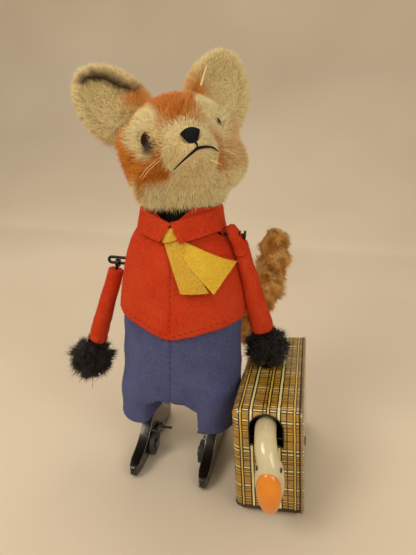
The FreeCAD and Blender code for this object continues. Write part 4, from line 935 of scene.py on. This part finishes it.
def head_colour(points):
    """The face's colour at each place: rust forehead and cheeks, pale eyes, muzzle and chin, and painted shade
    round the right eye.
    """
    local = HEAD.into(points)
    wobble = waves(points, 52, 6) * 0.07
    folded = np.abs(local * (1, 0, 0)) + local * (0, 1, 1)
    patch = 1 - smooth(reach(folded, (9.4, -10, 5), (5.4, 8, 9.2)) + wobble, 0.72, 1.12)
    muzzle = 1 - smooth(reach(local, (0, -20.5, -3.4), (9.4, 9.0, 9.6)) + wobble, 0.84, 1.1)
    chin = smooth(-local[:, 2] + wobble * 12, 8.2, 10.4) * smooth(-local[:, 1], -8, -1)
    jaw = smooth(folded[:, 0], 14.6, 16.4) * smooth(-local[:, 1], -1, 4)
    jaw = jaw * smooth(-local[:, 2], 4, 8)
    bridge = 0.85 * np.exp(-(reach(folded, (6.2, -16.5, 1.5), (3.2, 6, 5.0)) ** 2))
    wash = 0.6 * smooth(local[:, 0], 6, 10) * smooth(-local[:, 1], -4, 4)
    pale = np.maximum.reduce([patch, muzzle, chin, jaw, bridge, wash])[:, None]
    blotch = smooth(waves(points, 51, 7), -1.1, 1.1)[:, None]
    warm = blend(FUR_RUST, FUR_ORANGE, 0.3 + 0.4 * blotch)
    light = blend(FUR_BEIGE, FUR_CREAM, 0.5 + 0.5 * blotch)
    # painted shade: dark brown round the sunken right eye, where the fur shades it
    eye_socket_shade = 0.95 * np.exp(-(reach(local, (-10.0, -13.5, 0.3), (1.9, 3.0, 2.3)) ** 4))[:, None]
    return blend(blend(warm, light, pale), FUR_BROWN * 0.6, eye_socket_shade)


def mouth_lines():
    """The stitched mouth as lines of (x, z) on the head, before they are laid on it."""
    stem = [(0.5, -4.8), (0.6, -5.8), (0.5, -6.8)]
    left = [(0.5, -6.8), (-1.5, -7.7), (-3.3, -8.4), (-5.4, -8.9)]
    right = [(0.5, -6.8), (2.6, -6.8), (4.3, -7.0), (6.0, -7.2)]
    return [stem, left, right]


def make_head():
    """The plush head: backing cloth, pile, stitched nose and mouth, whiskers."""
    mesh = remeshed("head_core", 0.6, 14)
    # painted shade: the cloth under the pile is darkened to 0.8 of the face's colour
    paint_points(mesh, head_colour(arrays(mesh)[0]) * 0.8)
    register("head_cloth", mesh, SKIN, "head", ["head_core"])
    tree = tree_of(mesh)

    nose = centre("nose")
    eyes = [centre(name) for name in ("left_eye", "right_eye")]
    lines = []
    for line in mouth_lines():
        spots = []
        for x, z in line:
            start = HEAD.out((x, -50, z))
            spot, normal = drop_on(tree, start, HEAD.axes[1])
            spots.append(spot + normal * 0.75)
        lines.append(curve_through(spots, 8))
    mouth = joined("mouth_thread", [
        tube("mouth_thread", line, 0.42, 8, taper=np.linspace(1, 0.35, len(line))) for line in lines
    ])
    register("mouth_thread", mouth, THREAD, "head")
    trail = np.concatenate(lines)

    for part, count in (("a", 24000), ("b", 24000)):
        roots, normals = scatter(mesh, count)
        local = HEAD.into(roots)
        flow = roots - nose
        flow = unit(flow - np.einsum("ij,ij->i", flow, normals)[:, None] * normals)
        away = np.linalg.norm(local - np.array((0, -20, -5)), axis=1)
        lengths = (0.8 + 1.1 * smooth(away, 4, 13)) * rng.uniform(0.7, 1.2, len(roots))
        side = smooth(np.abs(local[:, 0]), 11.5, 14.5) * np.exp(-(((local[:, 2] - 8) / 6) ** 2))
        throat = smooth(-FIGURE.into(roots)[:, 2], -97, -93.5)
        lengths = lengths * (1 + 1.3 * side + 0.9 * throat * rng.random(len(roots)))
        flow = unit(flow + throat[:, None] * np.array((0, 0, -1.2)))
        keep = FIGURE.into(roots)[:, 2] > 92.4
        keep &= np.linalg.norm(roots - nose, axis=1) > 2.7
        for eye in eyes:
            keep &= np.linalg.norm(roots - eye, axis=1) > (1.5 if eye is eyes[1] else 0.9)
        gap = np.min(np.linalg.norm(roots[:, None] - trail[None, ::3], axis=2), axis=1)
        keep &= gap > 0.85
        lengths = lengths * (0.5 + 0.5 * smooth(gap, 0.8, 2.4))
        clump = clumps(roots, 61, 2.6)
        ways = unit(normals + flow * 0.55 + clump * 0.2 + rng.normal(size=roots.shape) * 0.18)
        tints = head_colour(roots) * rng.uniform(0.72, 1.22, (len(roots), 1))
        widths = rng.uniform(0.05, 0.085, len(roots))
        droop = flow * 0.5 + rng.normal(size=roots.shape) * 0.25
        chosen = (roots, ways, lengths, widths, tints, droop, normals)
        hairs = strands("head_pile_" + part, *(values[keep] for values in chosen))
        register("head_pile_" + part, hairs, FUR, "head")

    make_nose(nose)
    make_whiskers(tree)
    for name, sunk in (("left_eye", 1.7), ("right_eye", 0.3)):
        middle = HEAD.into(centre(name)) + (0, sunk, 0)
        angles = np.linspace(0, math.pi, 15)
        line = middle + np.outer(np.cos(angles), (0.5, -1.5, 1.9))
        round_off = np.maximum(np.sin(angles), 0.02)
        ball = tube(name + "_glass", HEAD.out(line), 1.8, 24, taper=round_off)
        register(name + "_glass", ball, EYE, "head", [name])


def make_nose(nose):
    """A satin-stitched nose: threads that gather from a wide top to a narrow foot."""
    local = HEAD.into(nose)
    threads = []
    for step in np.linspace(-1, 1, 21):
        line = []
        for turn in np.linspace(0, 1, 10):
            wide = 2.55 * (1 - turn) ** 0.8 + 0.55 * turn
            top = 1.75 - 0.9 * step * step
            bulge = math.sqrt(1 - 0.75 * step * step) * math.sin(0.5 + turn * 2.0)
            line.append((local[0] + 0.2 + step * wide, local[1] + 0.5 - 1.9 * bulge,
                         local[2] + top * (1 - turn) - 2.4 * turn))
        threads.append(tube("nose_stitches", HEAD.out(line), 0.2, 7))
    pad = joined("nose_stitches", threads)
    register("nose_stitches", pad, THREAD, "head", ["nose"])


def make_whiskers(tree):
    """Fine pale bristles on both cheeks and one stiff quill before the left ear."""
    hairs = []
    rows = (
        ((-8.0, -4.3), (-5.4, -1.6, -4.6)), ((-8.8, -3.8), (-5.2, -1.2, -4.0)),
        ((3.0, -9.4), (1.4, -2.2, -2.6)), ((-0.8, -9.0), (-1.2, -2.4, -2.4)),
        ((8.0, -5.0), (3.2, -1.6, -4.4)),
    )
    for (x, z), way in rows:
        spot, normal = drop_on(tree, HEAD.out((x, -50, z)), HEAD.axes[1])
        bend = spot + normal * 1.9 + np.array(way) * 0.5 @ HEAD.axes
        line = curve_through([spot, bend, spot + normal * 1.6 + np.array(way) @ HEAD.axes], 6)
        hairs.append(tube("whiskers", line, 0.085, 6, taper=np.linspace(1, 0.35, len(line))))
    quill = curve_through(HEAD.out([(11.2, -2.2, 18.6), (12.8, -3.4, 21.2), (14.9, -3.2, 24.4)]), 6)
    hairs.append(tube("whiskers", quill, 0.42, 8, taper=np.linspace(1, 0.15, len(quill))))
    mesh = joined("whiskers", hairs)
    paint_evenly(mesh, FUR_CREAM)
    register("whiskers", mesh, LINT, "head")


def make_ear(side):
    """An ear of beige pile; the right one has a folded rim, which is not modelled: its shade is painted as a dark
    slit, with shorter hair there.
    """
    node = f"{side}_ear"
    mesh = remeshed(node, 0.45, 6)
    middle = HEAD.into(centre(node))
    sign = 1 if side == "left" else -1
    splay = math.radians(32) * sign
    wide = np.array((math.cos(splay), 0, -math.sin(splay)))
    tall = np.array((math.sin(splay), 0, math.cos(splay)))

    def shape(points, _):
        local = HEAD.into(points) - middle
        rise = local @ tall
        return HEAD.out(middle + local - np.outer((local @ wide) * 0.16 * rise / 12, wide))

    shift_points(mesh, shape)
    slit = curve_through([(-22.6, 1.3, 29.4), (-20.6, 1.3, 30.3), (-16.2, 0.5, 29.4),
                          (-12.6, 0.6, 26.4), (-8.3, 0.5, 22.6)], 12)

    def slit_gap(local):
        """How far places on the head lie from the slit, seen from the front."""
        return np.min(np.linalg.norm((local[:, None] - slit[None])[..., [0, 2]], axis=2), axis=1)

    def tint(places, facing):
        local = HEAD.into(places)
        behind = smooth(facing @ HEAD.axes[1], 0.1, 0.6)[:, None]
        root = smooth(-(local - middle) @ tall, 6.0, 10.0)[:, None] if side == "right" else 0.0
        inner = np.exp(-((reach(local, (-9.0, 1, 20.5), (4.2, 6, 3.4))) ** 2))[:, None]
        if side == "left":
            inner = np.exp(-((reach(local, (10.2, 1, 18.0), (3.4, 6, 5.0))) ** 2))[:, None]
        warm = np.clip(0.35 * root + inner, 0, 1)
        colour = blend(blend(FUR_EAR, FUR_ORANGE, behind), FUR_ORANGE, warm)
        if side == "right":
            # painted shade: a dark brown line where the fold of the ear is in shade
            ragged = 1.1 + 0.5 * waves(local, 91, 2)
            dark = np.exp(-((slit_gap(local) / ragged) ** 2))[:, None] * (1 - behind)
            colour = blend(colour, FUR_BROWN, dark)
        return colour

    points, _, normals = arrays(mesh)
    # painted shade: the cloth under the pile is darkened to 0.8 of the ear's colour
    paint_points(mesh, tint(points, normals) * 0.8)
    register(f"{side}_ear_cloth", mesh, SKIN, "head", [node])
    roots, normals = scatter(mesh, 17000)
    local = HEAD.into(roots) - middle
    outward = unit(np.outer(local @ wide, wide) + np.outer(local @ tall + 5, tall)) @ HEAD.axes
    rim = smooth(np.hypot((local @ wide) / 9.0, (local @ tall) / 12.0), 0.35, 1.15)
    front = smooth(-(normals @ HEAD.axes[1]), 0.1, 0.6)[:, None]
    ways = normals + outward * (0.5 + 0.5 * rim[:, None]) + rng.normal(size=roots.shape) * 0.28
    ways = unit(ways)
    base = smooth(-(local @ tall), 3.0, 9.0)
    lengths = rng.uniform(1.0, 2.0, len(roots)) * (1 + 0.5 * rim + 0.8 * base)
    tints = tint(roots, normals) * rng.uniform(0.75, 1.2, (len(roots), 1))
    if side == "right":
        lengths = lengths * (1 - 0.6 * np.exp(-((slit_gap(HEAD.into(roots)) / 0.7) ** 2)))
    widths = rng.uniform(0.05, 0.08, len(roots))
    droop = outward * 0.35 + rng.normal(size=roots.shape) * 0.35
    lay = unit(normals * (1 - 0.7 * front) - HEAD.axes[1] * 0.7 * front)
    hairs = strands(f"{side}_ear_pile", roots, ways, lengths, widths, tints, droop, lay)
    register(f"{side}_ear_pile", hairs, FUR, "head")


def make_paw(side, body):
    """A ragged tuft of black wiry fur, with a few long stray bristles."""
    node = f"{side}_paw"
    mesh = remeshed(node, 0.5, 8)
    shift_points(mesh, lambda p, n: p + n * (waves(p, 71, 4) * 0.35)[:, None])
    dark, warm = np.array(srgb(13, 10, 9)), np.array(srgb(58, 44, 34))
    paint_evenly(mesh, dark)
    register(f"{side}_paw_cloth", mesh, SKIN, body, [node])
    roots, normals = scatter(mesh, 7000)
    middle = centre(node)
    below = unit(roots - middle)[:, 2] < 0.92
    clump = clumps(roots, 72, 2.2)
    ways = unit(normals + clump * 0.9 + rng.normal(size=roots.shape) * 0.3)
    lengths = rng.uniform(1.3, 3.9, len(roots)) * (1 + 0.45 * waves(roots, 75, 3))
    share = rng.random((len(roots), 1)) ** 4
    tints = blend(dark, warm, share)
    droop = clump * 0.6 + rng.normal(size=roots.shape) * 0.5
    widths = rng.uniform(0.07, 0.13, len(roots))
    chosen = (roots, ways, lengths, widths, tints, droop)
    hairs = strands(f"{side}_paw_fur", *(values[below] for values in chosen))
    register(f"{side}_paw_fur", hairs, WIRY, body)
    if side == "right":
        lines = (
            ((2.0, -2.0, 4.0), (4.2, -3.0, 7.5), (6.6, -3.6, 11.0)),
            ((1.2, -3.0, -4.0), (1.6, -3.4, -8.0), (1.2, -3.6, -11.0)),
            ((3.0, -3.4, -2.8), (6.2, -4.2, -2.4), (7.6, -4.0, 0.0)),
        )
        bristles = [
            tube("stray_bristles", curve_through(middle + np.array(line), 8), 0.13, 6,
                 taper=np.linspace(1, 0.4, 17))
            for line in lines
        ]
        strays = joined("stray_bristles", bristles)
        paint_evenly(strays, dark)
        register("stray_bristles", strays, WIRY, body)


def make_tail():
    """The ochre tail, its pile in curled tufts."""
    mesh = remeshed("tail", 0.5, 10)
    tip = box_of("tail")[1][2]
    points = arrays(mesh)[0]
    top = points[points[:, 2] > tip - 3].mean(0)

    def taper(places, _):
        near = smooth(places[:, 2:], tip - 7, tip)
        moved = places.copy()
        moved[:, :2] += (top[:2] - moved[:, :2]) * 0.5 * near ** 2
        moved[:, 2:] -= 2.0 * near
        return moved

    shift_points(mesh, taper)
    deep, light = np.array(srgb(212, 138, 54)), np.array(srgb(252, 200, 118))
    # painted shade: the cloth under the pile is darkened to 0.75 of the deep colour
    paint_evenly(mesh, deep * 0.75)
    register("tail_cloth", mesh, SKIN, "figure", ["tail"])
    roots, normals = scatter(mesh, 20000)
    clump = clumps(roots, 81, 4.2)
    up = np.array((0.1, 0.0, 1.0))
    ways = unit(normals + clump * 0.9 + up * 0.15 + rng.normal(size=roots.shape) * 0.16)
    lengths = rng.uniform(1.8, 3.6, len(roots)) * (1 + 0.4 * waves(roots, 84, 4))
    share = smooth(waves(roots, 85, 4), -0.7, 0.7)[:, None]
    share = share * rng.uniform(0.5, 1.0, (len(roots), 1))
    tints = blend(deep, light, share)
    droop = clump * 1.5 + rng.normal(size=roots.shape) * 0.25
    widths = rng.uniform(0.05, 0.085, len(roots))
    lengths = lengths * (1 - 0.45 * smooth(roots[:, 2], tip - 9, tip - 3))
    hairs = strands("tail_pile", roots, ways, lengths, widths, tints, droop, normals)
    register("tail_pile", hairs, FUR, "figure")


# ---- goose and case ----------------------------------------------------------------------

GOOSE_X = 10.2
GOOSE_HEAD_X = 11.9


def loft(name, stations, sides=32):
    """A closed skin in the case's frame; stations hold (place, half width, half depth)."""
    path = curve_through([station[0] for station in stations], 6)
    radii = curve_through([(wide, deep, 0) for _, wide, deep in stations], 6)[:, :2]
    radii = np.maximum(radii, 0.05)
    ahead = unit(np.gradient(path, axis=0))
    side = np.tile((1.0, 0.0, 0.0), (len(path), 1))
    side = unit(side - np.einsum("ij,ij->i", side, ahead)[:, None] * ahead)
    other = np.cross(ahead, side)
    angles = np.linspace(0, 2 * math.pi, sides, endpoint=False)
    wide, deep = radii.T
    points = (path[:, None]
              + side[:, None] * (np.cos(angles)[None, :, None] * wide[:, None, None])
              + other[:, None] * (np.sin(angles)[None, :, None] * deep[:, None, None]))
    points = CASE.out(points.reshape(-1, 3))
    return capped(name, points, CASE.out(path[[0, -1]]), len(path), sides)


def make_goose():
    """The goose's painted neck and head, its eyes, bill, and the lever inside the case."""
    x, head = GOOSE_X, GOOSE_HEAD_X
    stations = [
        ((x, 9.0, 27.5), 2.4, 2.4), ((x, 5.0, 29.6), 2.8, 2.6), ((x, 0.0, 30.6), 3.1, 2.6),
        ((x + 0.3, -4.4, 30.3), 3.1, 2.6), ((x + 0.7, -7.2, 28.6), 3.2, 2.6),
        ((x + 1.2, -8.6, 26.6), 3.2, 3.0), ((head, -9.3, 24.2), 3.8, 3.6),
        ((head, -9.6, 21.4), 4.15, 3.7), ((head, -9.8, 18.2), 4.0, 2.8),
        ((head, -10.1, 15.0), 3.3, 2.0), ((head, -10.2, 12.8), 2.3, 1.4),
        ((head, -10.3, 11.6), 0.3, 0.3),
    ]
    skin = loft("goose_skin", stations)
    register("goose_skin", skin, IVORY, "goose", ["goose"])

    stations = [
        ((head, -11.6, 24.9), 0.6, 0.4), ((head, -12.3, 24.0), 2.2, 1.2),
        ((head, -12.5, 21.6), 3.3, 1.9), ((head, -12.1, 18.2), 3.5, 2.3),
        ((head, -11.6, 15.2), 3.1, 2.2), ((head, -11.1, 12.8), 2.3, 1.8),
        ((head, -10.8, 11.4), 1.4, 1.3), ((head, -10.7, 10.7), 0.3, 0.3),
    ]
    bill = loft("goose_bill_skin", stations)
    register("goose_bill_skin", bill, ORANGE, "goose", ["goose_bill"])

    tree = tree_of(skin)
    spots = []
    for side in (-1, 1):
        start = CASE.out((head + side * 20, -10.8, 25.0))
        spot, _ = drop_on(tree, start, CASE.axes[0] * -side)
        ball = bmesh.new()
        bmesh.ops.create_uvsphere(ball, u_segments=20, v_segments=12, radius=0.62 * MM)
        for vertex in ball.verts:
            vertex.co = Vector((vertex.co.x * 0.6, vertex.co.y, vertex.co.z * 1.25))
            vertex.co += Vector(spot * MM)
        mesh = bpy.data.meshes.new("goose_eye")
        ball.to_mesh(mesh)
        ball.free()
        spots.append(mesh)
    register("goose_eyes", joined("goose_eyes", spots), BLACK_GLOSS, "goose")

    lever = NODES["goose"].data.copy()
    work = bmesh.new()
    work.from_mesh(lever)
    gone = []
    for face in work.faces:
        middle = CASE.into(np.array(face.calc_center_median()) / MM)
        if middle[1] < 8 or middle[2] > 28.2:
            gone.append(face)
    bmesh.ops.delete(work, geom=gone, context="FACES")
    work.to_mesh(lever)
    work.free()
    register("goose_lever", lever, TIN, "goose")


def rounded_loop(level, low, high, corner, steps=10):
    """A rounded rectangle in the case's depth and height, at one x."""
    (low_y, low_z), (high_y, high_z) = low, high
    line = []
    for middle_y, middle_z, start in (
        (high_y - corner, high_z - corner, 0), (low_y + corner, high_z - corner, 90),
        (low_y + corner, low_z + corner, 180), (high_y - corner, low_z + corner, 270),
    ):
        for angle in np.radians(np.linspace(start, start + 90, steps)):
            y, z = middle_y + corner * math.cos(angle), middle_z + corner * math.sin(angle)
            line.append((level, y, z))
    return np.array(line)


def even(loop, gap):
    """A closed line resampled at an even gap."""
    closed = np.concatenate([loop, loop[:1]])
    run = np.concatenate([[0], np.cumsum(np.linalg.norm(np.diff(closed, axis=0), axis=1))])
    marks = np.linspace(0, run[-1], int(run[-1] / gap), endpoint=False)
    return np.stack([np.interp(marks, run, closed[:, i]) for i in range(3)], 1)


def make_case():
    """The printed case: beads at its cover, arch and foot, and its carried-over tin."""
    wide, deep, high, cover = 21.0, 55.0, 35.6, 1.2
    for name in ("case_body", "case_side_cover"):
        dress(NODES[name].data, PLAID)
    split = wide - cover

    def bead(name, line, radius, sides, material):
        rod = tube(name, CASE.out(line), radius, sides, closed=True)
        register(name, rod, material, "suitcase")

    edge = even(rounded_loop(split, (-0.05, -0.05), (deep + 0.05, high + 0.05), 2.6), 0.8)
    bead("case_cover_gap", edge, 0.17, 8, BASE_TIN)
    edge = even(rounded_loop(split + 0.55, (-0.02, -0.02), (deep + 0.02, high + 0.02), 2.6), 0.8)
    bead("case_cover_bead", edge, 0.34, 10, RIM_AND_HIGHLIGHT)
    half, sill, spring, rise = 5.0, 24.2, 30.2, 4.4
    # the arch is the circle through its two springs and its top
    radius = (half * half + rise * rise) / (2 * rise)
    middle_z = spring + rise - radius
    line = [(GOOSE_X - half, -0.02, sill), (GOOSE_X + half, -0.02, sill)]
    edge_angle = math.asin(half / radius)
    for angle in np.linspace(edge_angle, -edge_angle, 25):
        x, z = GOOSE_X + radius * math.sin(angle), middle_z + radius * math.cos(angle)
        line.append((x, -0.02, z))
    bead("case_arch_lip", even(np.array(line), 0.5), 0.22, 8, BASE_TIN)

    # folded tin foot round the lower edge, its four corners as (x, y, bend, first angle)
    corner, sharp = 2.4, 0.3
    corners = ((split - sharp, deep - sharp, sharp, 0), (corner, deep - corner, corner, 90),
               (corner, corner, corner, 180), (split - sharp, sharp, sharp, 270))
    half_size = np.array((split / 2, deep / 2))
    foot = []
    for z, out in ((0.4, -0.5), (0.1, 0.1), (0.5, 0.3), (1.7, 0.34), (2.2, 0.2), (2.1, -0.3)):
        line = np.array([
            (x + (bend + out) * math.cos(angle), y + (bend + out) * math.sin(angle), z)
            for x, y, bend, start in corners
            for angle in np.radians(np.linspace(start, start + 90, 7))
        ])
        inset = corner - math.sqrt(max(corner ** 2 - (corner - min(z, corner)) ** 2, 0))
        line[:, :2] = half_size + (line[:, :2] - half_size) * (half_size - inset) / half_size
        foot.append(CASE.out(line))
    quads = ring_quads(len(foot), len(foot[0]))
    register("case_foot_rim", make_mesh("case_foot_rim", np.concatenate(foot), quads),
             BASE_TIN, "suitcase")
    make_ferrules()


def make_ferrules():
    """Small pressed washers where the handle enters the case's top."""
    low, high = box_of("case_handle")
    around = np.linspace(0, 2 * math.pi, 24, endpoint=False)
    rings = []
    for y in (low[1] + 0.9, high[1] - 0.9):
        local = CASE.into(((low[0] + high[0]) / 2, y, 36))
        line = np.stack([local[0] + 1.25 * np.cos(around), local[1] + 1.25 * np.sin(around),
                         np.full(24, 35.68)], 1)
        rings.append(tube("handle_ferrules", CASE.out(line), 0.28, 8, closed=True))
    register("handle_ferrules", joined("handle_ferrules", rings), DARK_WIRE, "suitcase")


# ---- tin feet ----------------------------------------------------------------------------


def make_shoe(side, body):
    """A bronzed tin shoe with softened edges, a rounded toe and heel and a painted highlight along its rim."""
    node = f"{side}_shoe"
    mesh = remeshed(node, 0.24, 3)
    low, high = box_of(node)
    middle = (low[0] + high[0]) / 2

    def round_ends(points, _):
        moved = points.copy()
        for end, way in ((low[1], 1), (high[1], -1)):
            near = np.clip(1 - (points[:, 1] - end) * way / 7.0, 0, 1)
            squeeze = np.sqrt(np.clip(1 - near ** 2.2, 0.05, 1))
            moved[:, 0] = middle + (moved[:, 0] - middle) * squeeze
        return moved

    shift_points(mesh, round_ends)
    register(f"{side}_shoe_shell", mesh, SHOE, body, [node])
    # painted highlight: bright lines along both upper edges
    tree = tree_of(mesh)
    lines = []
    for edge, inward in ((low[0], -0.25), (high[0], 0.25)):
        spots = []
        for y in np.linspace(low[1] + 3.6, FIGURE.out((0, -1.6, 0))[1], 22):
            spot, _ = drop_on(tree, (edge - inward, y, 40), (0, 0, -1))
            spots.append(spot + np.array((inward * 0.5, 0, -0.02)))
        lines.append(tube("rim", np.array(spots), 0.1, 6))
    register(f"{side}_shoe_painted_highlight", joined(f"{side}_shoe_painted_highlight", lines), RIM_AND_HIGHLIGHT, body)


# ---- carried-over metal ------------------------------------------------------------------

CARRIED = {
    "tin": TIN, "steel": STEEL, "spring_steel": BLUED,
    "brass": BRASS, "roller": RUBBER, "lead": LEAD,
}
BLACKENED = (
    "case_handle", "right_shoulder_wire", "left_shoulder_pin", "right_arm_wire", "left_arm_wire",
)


def dress_nodes():
    """Give every carried-over CAD node its metal and a softened edge."""
    slots = {part["node"]: part["material_slot"] for part in frame["record"]["subparts"]}
    for name, node in NODES.items():
        if name in BLACKENED:
            dress(node.data, DARK_WIRE)
        elif slots.get(name) in CARRIED:
            dress(node.data, CARRIED[slots[name]])
        if slots.get(name) in ("tin", "steel", "brass", "roller"):
            edge = node.modifiers.new("edge", "BEVEL")
            edge.width = 0.07 * MM
            edge.segments = 2
            edge.limit_method = "ANGLE"
            edge.angle_limit = math.radians(40)


# ---- stage -------------------------------------------------------------------------------


def make_stage():
    """A pale floor that rises into a backdrop, soft lights and the camera."""
    paint = Paint("backdrop")
    clouds = paint.noise(0.006, 2)
    tone = paint.mix(paint.grey(clouds, -0.1, 0.9), srgb(236, 220, 194), srgb(214, 196, 168))
    paint.set(Base_Color=tone, Roughness=0.75, Specular_IOR_Level=0.25)
    paint.bump(paint.noise(1.2, 2), 0.02)
    profile = [(-700, 0), (200, 0), (360, 14), (500, 70), (600, 180), (650, 340), (655, 900)]
    line = curve_through([(0, y, z) for y, z in profile], 10)
    points = np.concatenate([line + (-1200, 0, 0), line + (1200, 0, 0)])
    count = len(line)
    quads = np.array([(i, i + 1, count + i + 1, count + i) for i in range(count - 1)])
    mesh = make_mesh("backdrop", points, quads[:, ::-1])
    dress(mesh, paint.material)
    mesh.polygons.foreach_set("use_smooth", np.ones(len(mesh.polygons), bool))
    link("backdrop", mesh)

    def lamp(name, place, aim, size, watts, colour):
        light = bpy.data.lights.new(name, "AREA")
        light.shape = "DISK"
        light.size = size * MM
        light.energy = watts
        light.color = colour
        stand = link(name, light)
        stand.location = Vector(place) * MM
        way = (Vector(aim) - Vector(place)).normalized()
        stand.rotation_mode = "QUATERNION"
        stand.rotation_quaternion = way.to_track_quat("-Z", "Y")

    warm = (1.0, 0.93, 0.84)
    lamp("key_light", (-260, -330, 420), (0, 0, 60), 240, 1.25, warm)
    lamp("fill_light", (330, -330, 330), (0, 0, 60), 260, 0.65, (1.0, 0.95, 0.88))
    lamp("back_light", (-120, 300, 420), (0, 0, 70), 300, 0.5, warm)
    world = bpy.data.worlds.new("studio")
    world.use_nodes = True
    sky = world.node_tree.nodes["Background"]
    sky.inputs["Color"].default_value = (*warm, 1)
    sky.inputs["Strength"].default_value = 0.46
    bpy.context.scene.world = world
    bpy.context.scene.view_settings.view_transform = "Standard"

    lens = bpy.data.cameras.new("camera")
    lens.lens = 450 / 555 * 36
    lens.sensor_width = 36
    lens.clip_start = 0.005
    yaw, pitch, roll = np.radians((11.96, 17.19, 1.63))
    level = np.array((-math.sin(yaw), math.cos(yaw), 0))
    ahead = level * math.cos(pitch) - np.array((0, 0, math.sin(pitch)))
    flat = np.array((math.cos(yaw), math.sin(yaw), 0))
    rise = np.cross(flat, ahead)
    right = flat * math.cos(roll) + rise * math.sin(roll)
    up = rise * math.cos(roll) - flat * math.sin(roll)
    camera = link("camera", lens)
    turn = Matrix(np.stack([right, up, -ahead], 1).tolist()).to_4x4()
    camera.matrix_world = Matrix.Translation(FIGURE.out((37.3, -136.3, 110.8)) * MM) @ turn
    bpy.context.scene.camera = camera


dress_nodes()
make_jacket()
make_trousers()
make_collar()
make_tie()
make_lapels()
make_head()
make_tail()
make_goose()
make_case()
make_stage()
for side_name in ("left", "right"):
    make_sleeve(side_name, f"{side_name}_arm")
    make_paw(side_name, f"{side_name}_arm")
    make_ear(side_name)
    make_shoe(side_name, f"{side_name}_leg")
